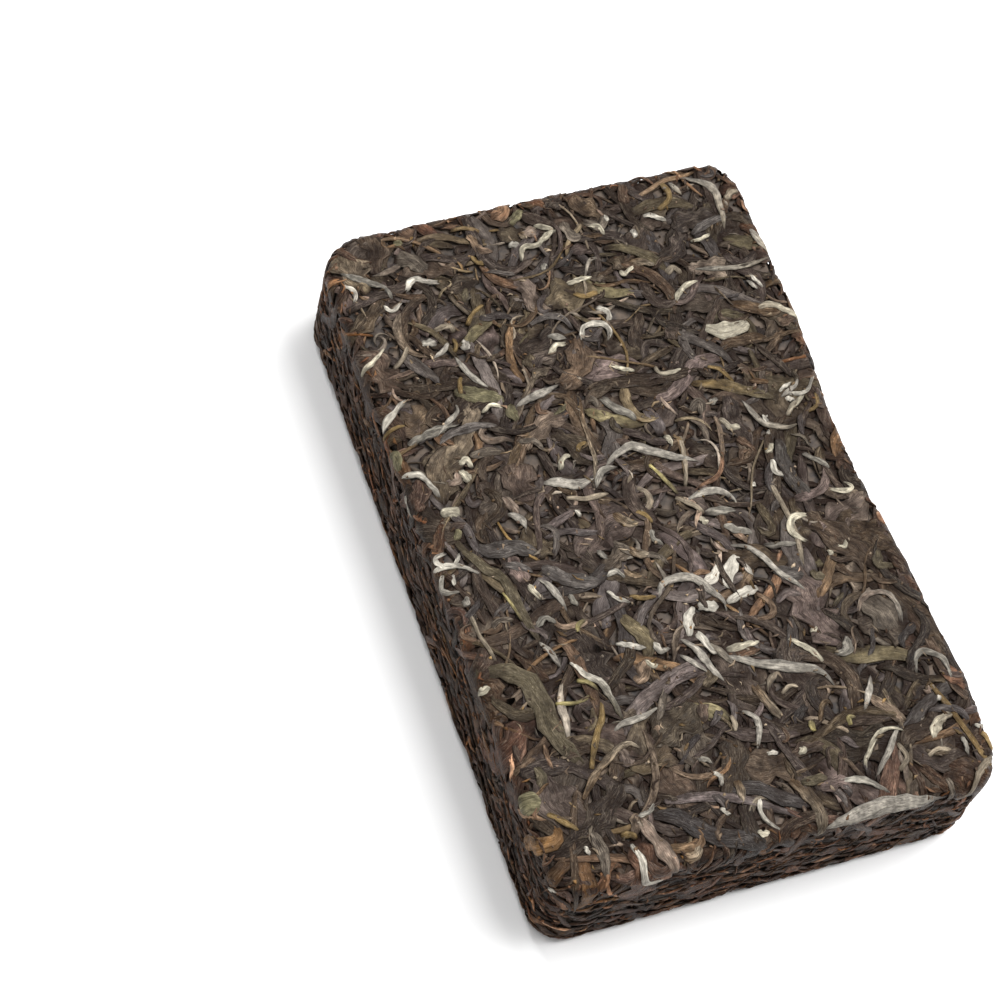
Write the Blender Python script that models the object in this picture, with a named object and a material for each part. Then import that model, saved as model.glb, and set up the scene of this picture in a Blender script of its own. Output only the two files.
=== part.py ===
"""Brick of pressed loose-leaf tea as one closed solid.

The brick is a pressed core with rounded corners and rims. The larger leaves, stems and buds that
show on its top and its sides are fused on, each a thin wavy strip laid along the core's surface.
Units are metres and +Z is up. +X runs across the brick and +Y along it. The origin is the middle
of the flat underside.
"""
import math
import random

import bmesh
import bpy
from mathutils import Matrix, Vector

MM = 0.001
UP = Vector((0.0, 0.0, 1.0))

# Driving dimensions of the whole brick
WIDTH = 90.0 * MM
LENGTH = 144.0 * MM
HEIGHT = 25.0 * MM

# The core lies this far under the brick's outer faces, and the leaves make up the rest
LEAF_COVER = 1.0 * MM
HALF_WIDTH = WIDTH / 2 - LEAF_COVER
HALF_LENGTH = LENGTH / 2 - LEAF_COVER
CORE_TOP = HEIGHT - LEAF_COVER

# Plan corner radii of the core, by side of X and side of Y
CORNER_RADII = {
    (1, 1): 6.5 * MM,
    (-1, 1): 9.0 * MM,
    (-1, -1): 6.5 * MM,
    (1, -1): 10.0 * MM,
}
CORNER_SEGMENTS = 4
TOP_RIM = 1.6 * MM
BOTTOM_RIM = 1.8 * MM
RIM_SEGMENTS = 2
ROW_PITCH = 9.5 * MM
COLUMN_PITCH = 9.5 * MM
SIDE_LEVELS = (11.0 * MM,)
CORE_BUMP = 0.35 * MM

# The pressing is uneven: a hollow and a bulge along the +X side, a slanted +Y end, a wavy top
HOLLOW_DEPTH = 2.2 * MM
HOLLOW_MIDDLE = 3.0 * MM
HOLLOW_REACH = 34.0 * MM
BULGE_HEIGHT = 0.9 * MM
BULGE_MIDDLE = -50.0 * MM
BULGE_REACH = 16.0 * MM
END_SLANT = 1.5 * MM
TOP_WAVE = 0.35 * MM
WAVE_LENGTH = (65.0 * MM, 82.0 * MM)
WAVE_START = 1.3

# Size ranges of the leaves that a rule spreads over the surface
SEED = 85
TOP_PITCH = (12.0 * MM, 12.0 * MM)
SIDE_PITCH = 19.0 * MM
SIDE_HEIGHTS = (4.2 * MM, 9.6 * MM, 15.0 * MM)
LEAF_LENGTH = (10.0 * MM, 17.0 * MM)
LEAF_WIDTH = (2.0 * MM, 3.4 * MM)
LEAF_STAND = (0.7 * MM, 1.1 * MM)
LEAF_BEND = 0.7
SHOWN_STAND = (0.8 * LEAF_COVER, LEAF_COVER)
SHOWN_CLEARANCE = 4.2 * MM
SIDE_SLOPE = 0.16
SIDE_JITTER = 1.0 * MM
RIM_REACH = (3.0 * MM, 8.0 * MM)
RIM_LEAN = 4.0 * MM
RIM_DROP = 2.5 * MM
CORNER_KEEPOUT = 5.0 * MM
GRID_JITTER = 0.3

# How a strip is shaped: rings of four points, a crown over a keel, with thin raised edges
RING_SPACING = 4.8 * MM
RING_RANGE = (4, 8)
KEEL_DEPTH = 0.45 * MM
EDGE_SHARE = 0.35
ROLL_LIMIT = 16.0
CROWN_WAVE = (0.8, 0.2, 5.0)
END_CROWN = 0.5
END_SPREAD = 0.34
BLUNTNESS = 0.6

# Share of the fused solid's faces that stay once slivers and flat splits are merged
KEPT_FACES = 0.70

# The pieces that stand out on the top: width and path over the top face, in millimetres.
# A path that runs past the outline turns over the rim and goes down the side.
SHOWN_LEAVES = {
    "near_rim_bud": (2.6, ((8.5, -70.5), (13.5, -69.9), (20.0, -69.5), (26.0, -70.2), (32.5, -71.1))),
    "long_silver_bud": (2.3, ((3.4, -34.8), (7.0, -36.7), (14.0, -39.5), (17.5, -40.9), (19.7, -44.6))),
    "arched_bud": (2.1, ((-4.6, 9.8), (0.1, 12.3), (4.7, 10.4), (8.5, 8.2), (13.6, 6.0))),
    "silver_hook": (1.9, ((-5.0, -19.2), (-4.0, -17.3), (-1.1, -16.6), (2.6, -17.8), (6.2, -25.0))),
    "silver_curve": (1.4, ((12.0, -12.8), (15.0, -13.5), (17.1, -16.3), (19.3, -20.8), (22.5, -25.9))),
    "olive_stem": (2.0, ((-38.4, 1.5), (-34.9, -5.8), (-32.4, -9.0), (-31.4, -16.3), (-30.4, -22.0))),
    "olive_leaf": (4.4, ((-43.0, -26.0), (-38.0, -27.5), (-35.0, -32.0), (-34.0, -40.0), (-31.5, -47.5))),
    "green_flake": (3.4, ((-28.4, 32.0), (-24.7, 30.5), (-19.7, 28.0))),
    "cream_flake": (3.5, ((25.4, 34.2), (29.5, 32.6), (33.9, 33.1))),
    "golden_strip": (2.4, ((18.7, 22.5), (22.5, 21.6), (26.4, 19.7), (33.4, 15.9))),
    "silver_leaf": (2.4, ((-18.3, 8.8), (-12.5, 7.2), (-8.8, 6.5), (-3.0, 9.2))),
    "corner_curve": (2.0, ((34.3, 69.5), (39.1, 64.9), (38.8, 60.1), (37.8, 55.7))),
    "thin_strip": (1.3, ((28.0, 47.7), (35.6, 46.1), (40.4, 46.1), (46.0, 47.1))),
    "white_curl": (1.3, ((0.2, 37.4), (1.0, 39.8), (3.2, 40.5), (5.6, 39.2), (5.4, 36.2))),
    "slanting_bud": (1.5, ((-25.6, 39.7), (-24.7, 36.0), (-22.8, 32.6), (-21.2, 31.0))),
    "white_bar": (1.5, ((-30.1, 57.0), (-27.7, 58.7), (-25.3, 57.9), (-22.6, 57.0))),
    "grey_cross": (1.4, ((-41.0, 63.6), (-37.5, 60.8), (-34.3, 58.9), (-33.2, 55.7))),
    "grey_band": (2.0, ((-40.6, 22.9), (-37.5, 23.8), (-33.0, 24.8), (-27.8, 23.6), (-22.8, 22.9))),
    "slate_leaf": (3.5, ((-34.9, -1.0), (-30.0, -2.6), (-24.6, -5.6))),
    "second_slate_leaf": (3.0, ((-24.7, -8.0), (-20.0, -12.0), (-14.8, -13.8))),
    "silver_loop": (1.7, ((7.9, -1.3), (11.7, -0.7), (15.2, -1.3), (17.1, -4.8))),
    "white_chip": (2.5, ((8.4, -20.3), (10.3, -17.4), (12.2, -15.0))),
    "second_white_chip": (2.2, ((1.2, -23.2), (7.5, -23.4), (13.6, -22.4))),
    "cream_hook": (1.6, ((29.5, -10.4), (27.0, -10.0), (25.4, -12.2), (27.8, -15.4))),
    "two_tone_strip": (1.5, ((-26.0, -28.4), (-24.1, -31.3), (-21.8, -34.2), (-20.9, -40.5))),
    "pale_disc": (6.2, ((34.0, -29.9), (35.0, -33.2), (36.0, -36.6))),
    "bent_strip": (1.5, ((-27.9, -64.8), (-27.3, -67.6), (-27.4, -70.2), (-26.3, -72.4))),
    "grey_brown_leaf": (2.7, ((-24.4, -59.6), (-23.2, -63.8), (-21.7, -69.0))),
    "white_arc": (1.4, ((13.9, -63.2), (17.4, -63.8), (20.0, -65.7), (21.6, -67.5))),
    "brown_hook": (1.6, ((-31.7, -53.6), (-29.5, -50.1), (-24.7, -46.9), (-19.9, -47.2))),
    "brown_leaf": (2.6, ((4.7, -60.3), (6.9, -63.8), (7.9, -68.0), (6.3, -73.5))),
    "corner_leaf": (3.4, ((-45.6, -53.4), (-41.5, -53.2), (-38.7, -56.8), (-36.2, -59.3))),
    "grey_loop": (1.3, ((41.7, -49.1), (41.5, -45.0), (39.1, -42.8), (36.9, -44.0), (35.9, -46.9))),
    "corner_stem": (1.3, ((35.9, -72.8), (40.1, -68.2), (45.6, -64.6))),
}


def clear_scene():
    """Remove every object of the start-up scene."""
    for item in list(bpy.data.objects):
        bpy.data.objects.remove(item, do_unlink=True)


def outline_at(x, y):
    """Signed distance of a plan point from the core's outline, and the outward direction there."""
    side = (1 if x > 0 else -1, 1 if y > 0 else -1)
    radius = CORNER_RADII[side]
    over_x = abs(x) - (HALF_WIDTH - radius)
    over_y = abs(y) - (HALF_LENGTH - radius)
    if over_x > 0 and over_y > 0:
        reach = math.hypot(over_x, over_y)
        return reach - radius, Vector((side[0] * over_x / reach, side[1] * over_y / reach, 0.0))
    if over_x > over_y:
        return over_x - radius, Vector((side[0], 0.0, 0.0))
    return over_y - radius, Vector((0.0, side[1], 0.0))


def skin(x, y):
    """Point and normal of the core's surface, going over the rim and down past the outline."""
    distance, outward = outline_at(x, y)
    run = distance + TOP_RIM
    if run <= 0:
        return Vector((x, y, CORE_TOP)), UP.copy()
    turn = min(run / TOP_RIM, math.pi / 2)
    drop = max(0.0, run - TOP_RIM * math.pi / 2)
    normal = outward * math.sin(turn) + UP * math.cos(turn)
    centre = Vector((x, y, CORE_TOP - TOP_RIM)) - outward * run
    return centre + normal * TOP_RIM - UP * drop, normal


def outline_walk():
    """Corner arcs of the core's outline as points, counter-clockwise from the near right corner."""
    points = []
    for quarter, side in enumerate(((1, -1), (1, 1), (-1, 1), (-1, -1))):
        radius = CORNER_RADII[side]
        centre = Vector((side[0] * (HALF_WIDTH - radius), side[1] * (HALF_LENGTH - radius), 0.0))
        for step in range(CORNER_SEGMENTS + 1):
            angle = math.radians(90.0 * (quarter - 1 + step / CORNER_SEGMENTS))
            points.append(centre + radius * Vector((math.cos(angle), math.sin(angle), 0.0)))
    return points


def beside(walk, travel, height):
    """Plan place, outside the outline, from which skin() lands on the side at this height."""
    legs = list(zip(walk, walk[1:] + walk[:1]))
    travel %= sum((end - start).length for start, end in legs)
    for start, end in legs:
        leg = (end - start).length
        if travel <= leg:
            break
        travel -= leg
    on_outline = start.lerp(end, travel / leg)
    outward = outline_at(on_outline.x, on_outline.y)[1]
    fall = CORE_TOP - TOP_RIM - height + TOP_RIM * (math.pi / 2 - 1)
    return on_outline + outward * fall


def settle(point):
    """Move a point of the ideal brick to where the uneven pressing leaves it."""
    share = max(0.0, point.x / HALF_WIDTH)
    hollow = math.cos(min(1.0, abs(point.y - HOLLOW_MIDDLE) / HOLLOW_REACH) * math.pi / 2) ** 2
    bulge = math.cos(min(1.0, abs(point.y - BULGE_MIDDLE) / BULGE_REACH) * math.pi / 2) ** 2
    shift_x = share * (BULGE_HEIGHT * bulge - HOLLOW_DEPTH * hollow)
    toward_end = max(0.0, point.y / HALF_LENGTH) ** 2
    shift_y = -END_SLANT * toward_end * (0.5 - 0.5 * point.x / HALF_WIDTH)
    wave = (math.sin(2 * math.pi * point.x / WAVE_LENGTH[0] + WAVE_START)
            * math.sin(2 * math.pi * point.y / WAVE_LENGTH[1]))
    shift_z = -TOP_WAVE * (0.5 + 0.5 * wave) * point.z / HEIGHT
    return point + Vector((shift_x, shift_y, shift_z))


def smooth_path(points, count):
    """Points spread evenly in parameter along a smooth curve through the given points."""
    ends = [points[0] * 2 - points[1]] + list(points) + [points[-1] * 2 - points[-2]]
    result = []
    for step in range(count):
        place = step / (count - 1) * (len(points) - 1)
        index = min(int(place), len(points) - 2)
        part = place - index
        before, start, end, after = ends[index:index + 4]
        slope_in = (end - before) / 2
        slope_out = (after - start) / 2
        result.append(
            start * (2 * part ** 3 - 3 * part ** 2 + 1)
            + slope_in * (part ** 3 - 2 * part ** 2 + part)
            + end * (3 * part ** 2 - 2 * part ** 3)
            + slope_out * (part ** 3 - part ** 2)
        )
    return result


def leaf_mesh(name, path, width, stand, draw):
    """One thin wavy strip along a path of plan places, its keel sunk in the core."""
    length = sum((b - a).length for a, b in zip(path, path[1:]))
    count = max(RING_RANGE[0], min(RING_RANGE[1], round(length / RING_SPACING) + 1))
    places = smooth_path(path, count)
    surface = [skin(place.x, place.y) for place in places]
    roll_start = math.radians(draw.uniform(-ROLL_LIMIT, ROLL_LIMIT))
    roll_end = math.radians(draw.uniform(-ROLL_LIMIT, ROLL_LIMIT))
    phase = draw.uniform(0.0, 2 * math.pi)
    mesh = bpy.data.meshes.new(name)
    shape = bmesh.new()
    rings = []
    for step, (point, normal) in enumerate(surface):
        share = step / (count - 1)
        ahead = surface[min(step + 1, count - 1)][0] - surface[max(step - 1, 0)][0]
        across = normal.cross(ahead).normalized()
        roll = Matrix.Rotation(roll_start + (roll_end - roll_start) * share, 3, ahead.normalized())
        spread = width / 2 * max(END_SPREAD, math.sin(math.pi * (0.1 + 0.8 * share)) ** BLUNTNESS)
        crown = stand * (CROWN_WAVE[0] + CROWN_WAVE[1] * math.sin(phase + CROWN_WAVE[2] * share))
        if step in (0, count - 1):
            crown *= END_CROWN
        edge_lift = crown * EDGE_SHARE
        offsets = (
            roll @ (across * spread) + normal * edge_lift,
            normal * crown,
            roll @ (across * -spread) + normal * edge_lift,
            normal * -KEEL_DEPTH,
        )
        rings.append([shape.verts.new(settle(point + offset)) for offset in offsets])
    for near, far in zip(rings, rings[1:]):
        for a, b in ((0, 1), (1, 2), (2, 3), (3, 0)):
            shape.faces.new((near[a], near[b], far[b]))
            shape.faces.new((near[a], far[b], far[a]))
    for ring in (rings[0], rings[-1]):
        shape.faces.new((ring[0], ring[1], ring[3]))
        shape.faces.new((ring[1], ring[2], ring[3]))
    bmesh.ops.recalc_face_normals(shape, faces=shape.faces)
    shape.to_mesh(mesh)
    shape.free()
    return mesh


def add_leaf(leaves, name, path, width, stand, draw):
    """Add one leaf strip as an object of the leaves' collection."""
    mesh = leaf_mesh(name, path, width, stand, draw)
    leaves.objects.link(bpy.data.objects.new(name, mesh))


def plan_places(path):
    """A path given in millimetres as points in the plan."""
    return [Vector((x, y, 0.0)) * MM for x, y in path]


def add_shown_leaves(leaves, draw):
    """The pieces that stand out on the top, where they lie on the real brick."""
    for name, (width, path) in SHOWN_LEAVES.items():
        add_leaf(leaves, name, plan_places(path), width * MM, draw.uniform(*SHOWN_STAND), draw)


def add_top_leaves(leaves, draw):
    """Leaves spread evenly over the rest of the top, on a jittered grid."""
    taken = []
    for width, path in SHOWN_LEAVES.values():
        taken += smooth_path(plan_places(path), 4 * len(path))
    columns = round(2 * HALF_WIDTH / TOP_PITCH[0])
    rows = round(2 * HALF_LENGTH / TOP_PITCH[1])
    for row in range(rows):
        for column in range(columns):
            across = (column + 0.5 + draw.uniform(-GRID_JITTER, GRID_JITTER)) / columns
            along = (row + 0.5 + draw.uniform(-GRID_JITTER, GRID_JITTER)) / rows
            middle = Vector(((2 * across - 1) * HALF_WIDTH, (2 * along - 1) * HALF_LENGTH, 0.0))
            heading = draw.uniform(0.0, math.pi)
            bend = draw.uniform(-LEAF_BEND, LEAF_BEND)
            half = draw.uniform(*LEAF_LENGTH) / 2
            width = draw.uniform(*LEAF_WIDTH)
            stand = draw.uniform(*LEAF_STAND)
            if min((middle - place).length for place in taken) < SHOWN_CLEARANCE:
                continue
            back = Vector((math.cos(heading + bend), math.sin(heading + bend), 0.0)) * -half
            ahead = Vector((math.cos(heading - bend), math.sin(heading - bend), 0.0)) * half
            path = [middle + back, middle, middle + ahead]
            add_leaf(leaves, f"top_leaf_{row}_{column}", path, width, stand, draw)


def add_side_leaves(leaves, draw):
    """Leaves in layers around the four sides, and leaves that bend over the top rim."""
    walk = outline_walk()
    around = sum((end - start).length for start, end in zip(walk, walk[1:] + walk[:1]))
    count = round(around / SIDE_PITCH)
    for layer, height in enumerate(SIDE_HEIGHTS):
        for step in range(count):
            start = (step + 0.5 * (layer % 2) + draw.uniform(-0.2, 0.2)) * around / count
            length = draw.uniform(*LEAF_LENGTH)
            level = height + draw.uniform(-SIDE_JITTER, SIDE_JITTER)
            slope = draw.uniform(-SIDE_SLOPE, SIDE_SLOPE)
            path = [beside(walk, start + length * share, level + length * slope * share)
                    for share in (0.0, 0.5, 1.0)]
            add_leaf(leaves, f"side_leaf_{layer}_{step}", path,
                     draw.uniform(*LEAF_WIDTH), draw.uniform(*LEAF_STAND), draw)
    for step in range(count):
        start = (step + draw.uniform(0.1, 0.9)) * around / count
        reach = draw.uniform(*RIM_REACH)
        lean = draw.uniform(-RIM_LEAN, RIM_LEAN)
        low = beside(walk, start, CORE_TOP - TOP_RIM - draw.uniform(0.0, RIM_DROP))
        rim = beside(walk, start + lean / 2, CORE_TOP)
        inward = outline_at(rim.x, rim.y)[1] * -reach
        top = beside(walk, start + lean, CORE_TOP) + inward
        if abs(top.x) < HALF_WIDTH - CORNER_KEEPOUT or abs(top.y) < HALF_LENGTH - CORNER_KEEPOUT:
            add_leaf(leaves, f"rim_leaf_{step}", [low, rim, top],
                     draw.uniform(*LEAF_WIDTH), draw.uniform(*LEAF_STAND), draw)


def vertical_edge(shape, side):
    """The upright edge of a box at one corner of its plan."""
    for edge in shape.edges:
        middle = (edge.verts[0].co + edge.verts[1].co) / 2
        if abs(middle.z - CORE_TOP / 2) < MM and middle.x * side[0] > 0 and middle.y * side[1] > 0:
            return edge
    raise ValueError(side)


def level_edges(shape, height):
    """The edges of a box that lie at one height."""
    return [edge for edge in shape.edges
            if all(abs(vert.co.z - height) < 0.01 * MM for vert in edge.verts)]


def cut_across(shape, place, normal):
    """Split the faces of a mesh along one plane."""
    everything = shape.verts[:] + shape.edges[:] + shape.faces[:]
    bmesh.ops.bisect_plane(shape, geom=everything, dist=0.01 * MM,
                           plane_co=place, plane_no=normal)


def make_core(draw):
    """The pressed core: a box with rounded corners and rims, cut in rows and made bumpy."""
    shape = bmesh.new()
    bmesh.ops.create_cube(shape, size=1.0)
    bmesh.ops.scale(shape, vec=(2 * HALF_WIDTH, 2 * HALF_LENGTH, CORE_TOP), verts=shape.verts)
    bmesh.ops.translate(shape, vec=(0.0, 0.0, CORE_TOP / 2), verts=shape.verts)
    for side, radius in CORNER_RADII.items():
        bmesh.ops.bevel(shape, geom=[vertical_edge(shape, side)], offset=radius, affect="EDGES",
                        segments=CORNER_SEGMENTS, profile=0.5)
    for height, radius in ((CORE_TOP, TOP_RIM), (0.0, BOTTOM_RIM)):
        bmesh.ops.bevel(shape, geom=level_edges(shape, height), offset=radius, affect="EDGES",
                        segments=RIM_SEGMENTS, profile=0.5)
    for axis, half, pitch in ((0, HALF_WIDTH, COLUMN_PITCH), (1, HALF_LENGTH, ROW_PITCH)):
        normal = Vector((axis == 0, axis == 1, 0.0))
        cuts = round(2 * half / pitch)
        for cut in range(1, cuts):
            cut_across(shape, normal * (2 * half * cut / cuts - half), normal)
    for height in SIDE_LEVELS:
        cut_across(shape, UP * height, UP)
    shape.normal_update()
    for vert in shape.verts:
        bump = draw.uniform(-CORE_BUMP, CORE_BUMP) if vert.co.z > BOTTOM_RIM else 0.0
        vert.co = settle(vert.co + vert.normal * bump)
    bmesh.ops.triangulate(shape, faces=shape.faces)
    bmesh.ops.recalc_face_normals(shape, faces=shape.faces)
    mesh = bpy.data.meshes.new("pressed_tea_brick")
    shape.to_mesh(mesh)
    shape.free()
    return bpy.data.objects.new("pressed_tea_brick", mesh)


def fuse(core, leaves):
    """Join the leaves to the core with one Boolean union and merge the slivers it leaves."""
    union = core.modifiers.new("leaves", "BOOLEAN")
    union.operation = "UNION"
    union.operand_type = "COLLECTION"
    union.collection = leaves
    union.solver = "EXACT"
    merge = core.modifiers.new("slivers", "DECIMATE")
    merge.decimate_type = "COLLAPSE"
    merge.ratio = KEPT_FACES
    merge.use_collapse_triangulate = True
    bpy.context.view_layer.update()
    evaluated = core.evaluated_get(bpy.context.evaluated_depsgraph_get())
    fused = bpy.data.meshes.new_from_object(evaluated)
    core.modifiers.clear()
    core.data = fused
    for item in list(leaves.objects):
        bpy.data.objects.remove(item, do_unlink=True)


def shells(shape):
    """The connected shells of a mesh, as lists of faces."""
    left = set(shape.faces)
    found = []
    while left:
        grow = [left.pop()]
        shell = []
        while grow:
            face = grow.pop()
            shell.append(face)
            for edge in face.edges:
                for neighbour in edge.link_faces:
                    if neighbour in left:
                        left.remove(neighbour)
                        grow.append(neighbour)
        found.append(shell)
    return found


def tidy_solid(brick):
    """Keep the outer shell alone and centre the brick on its underside."""
    shape = bmesh.new()
    shape.from_mesh(brick.data)
    scraps = sorted(shells(shape), key=len)[:-1]
    bmesh.ops.delete(shape, geom=[face for shell in scraps for face in shell], context="FACES")
    bmesh.ops.triangulate(shape, faces=shape.faces)
    low = Vector([min(vert.co[axis] for vert in shape.verts) for axis in range(3)])
    high = Vector([max(vert.co[axis] for vert in shape.verts) for axis in range(3)])
    middle = (low + high) / 2
    bmesh.ops.translate(shape, vec=(-middle.x, -middle.y, -low.z), verts=shape.verts)
    shape.to_mesh(brick.data)
    shape.free()


def tea_material():
    """The dark brown, slightly sheeny surface of pressed tea leaves."""
    material = bpy.data.materials.new("pressed_tea")
    material.use_nodes = True
    surface = material.node_tree.nodes["Principled BSDF"]
    surface.inputs["Base Color"].default_value = (0.075, 0.058, 0.042, 1.0)
    surface.inputs["Roughness"].default_value = 0.62
    surface.inputs["Metallic"].default_value = 0.0
    return material


def build():
    """Build the brick from its core and its leaves."""
    clear_scene()
    draw = random.Random(SEED)
    parts = bpy.data.collections.new("tea_brick")
    leaves = bpy.data.collections.new("tea_brick_leaves")
    for collection in (parts, leaves):
        bpy.context.scene.collection.children.link(collection)
    core = make_core(draw)
    parts.objects.link(core)
    add_shown_leaves(leaves, draw)
    add_top_leaves(leaves, draw)
    add_side_leaves(leaves, draw)
    fuse(core, leaves)
    tidy_solid(core)
    bpy.data.collections.remove(leaves)
    core.data.materials.clear()
    core.data.materials.append(tea_material())


build()
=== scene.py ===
"""Looks of a brick of pressed loose-leaf tea: a leafy core and about nine thousand real leaves.

Lengths are in millimetres until a mesh is made. +X runs across the brick, +Y along it and +Z up,
with the origin in the middle of the flat underside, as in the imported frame.
"""

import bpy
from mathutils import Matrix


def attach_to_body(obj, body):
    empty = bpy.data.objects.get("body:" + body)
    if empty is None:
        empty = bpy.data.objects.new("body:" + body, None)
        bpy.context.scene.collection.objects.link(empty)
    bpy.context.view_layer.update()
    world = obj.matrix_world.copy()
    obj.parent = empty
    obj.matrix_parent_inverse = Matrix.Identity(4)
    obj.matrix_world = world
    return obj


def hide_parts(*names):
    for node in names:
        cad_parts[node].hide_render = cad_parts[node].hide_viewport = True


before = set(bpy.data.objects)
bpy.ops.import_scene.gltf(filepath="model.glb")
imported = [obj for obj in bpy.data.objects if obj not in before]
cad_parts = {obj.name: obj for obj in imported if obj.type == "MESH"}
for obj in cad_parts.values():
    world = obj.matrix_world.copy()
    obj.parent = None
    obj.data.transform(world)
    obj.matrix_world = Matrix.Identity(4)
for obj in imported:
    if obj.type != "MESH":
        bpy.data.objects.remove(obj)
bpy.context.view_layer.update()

import logging
import math
from dataclasses import dataclass
from enum import Enum
from typing import Callable, ClassVar

import bmesh
import bpy
import numpy as np
from mathutils import Matrix, Vector, noise

LOG = logging.getLogger("tea_brick")
BRICK_NODE = "pressed_tea_brick"
MM = 0.001
SEED = 61
# Factors on red, green and blue
GROUND_SHADE = np.array([0.54, 0.5, 0.465])
SIDE_SHADE = np.array([1.02, 0.64, 0.45])
VEIN_SHADE = np.array([0.8, 0.8, 0.8])
SHOWN_SHADE = np.array([0.51, 0.5, 0.49])
# How far the traced places lie from the places on the brick, across and along
CAMERA_SHIFT = np.array([0.45, 0.6])
Array = np.ndarray
Socket = bpy.types.NodeSocket


class Face(Enum):
    """The side of the brick on which a leaf lies, which says what its path's numbers mean."""

    TOP = "top"
    SIDE = "side"
    UNDER = "under"


class Kind(Enum):
    """The kinds of leaf in the brick; all leaves of one kind are one piece."""

    DARK = "dark_leaves"
    SLATE = "slate_leaves"
    BROWN = "brown_leaves"
    FLAKE = "broad_flakes"
    OLIVE = "olive_leaves"
    STEM = "golden_stems"
    SILVER = "silver_buds"
    PALE = "pale_chips"
    CRUMB = "leaf_crumbs"


class Tone(Enum):
    """Colours of dried leaf, and a dark brown for painted shade, as screen red, green and blue from
    0 to 255.
    """

    # Dark brown painted into hollows and creases as shade, not a colour of the leaf
    PAINTED_SHADE = (27, 17, 12)
    BLACK = (46, 38, 34)
    DARK = (66, 56, 50)
    VIOLET = (80, 71, 70)
    UMBER = (82, 68, 55)
    SLATE = (96, 90, 86)
    BLUE_GREY = (80, 75, 76)
    GREY_BROWN = (108, 99, 89)
    BROWN = (106, 84, 60)
    TAN = (152, 140, 122)
    PINK = (148, 128, 114)
    RUST = (92, 70, 55)
    GOLD = (132, 110, 70)
    YELLOW = (176, 164, 110)
    OLIVE = (92, 84, 66)
    GREEN = (118, 113, 86)
    GREY = (140, 135, 126)
    SILVER = (168, 162, 152)
    CREAM = (206, 198, 176)
    WHITE = (228, 222, 208)

    def linear(self) -> Array:
        """The colour in linear light."""
        share = np.array(self.value) / 255.0
        return np.where(share <= 0.04045, share / 12.92, ((share + 0.055) / 1.055) ** 2.4)


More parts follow.
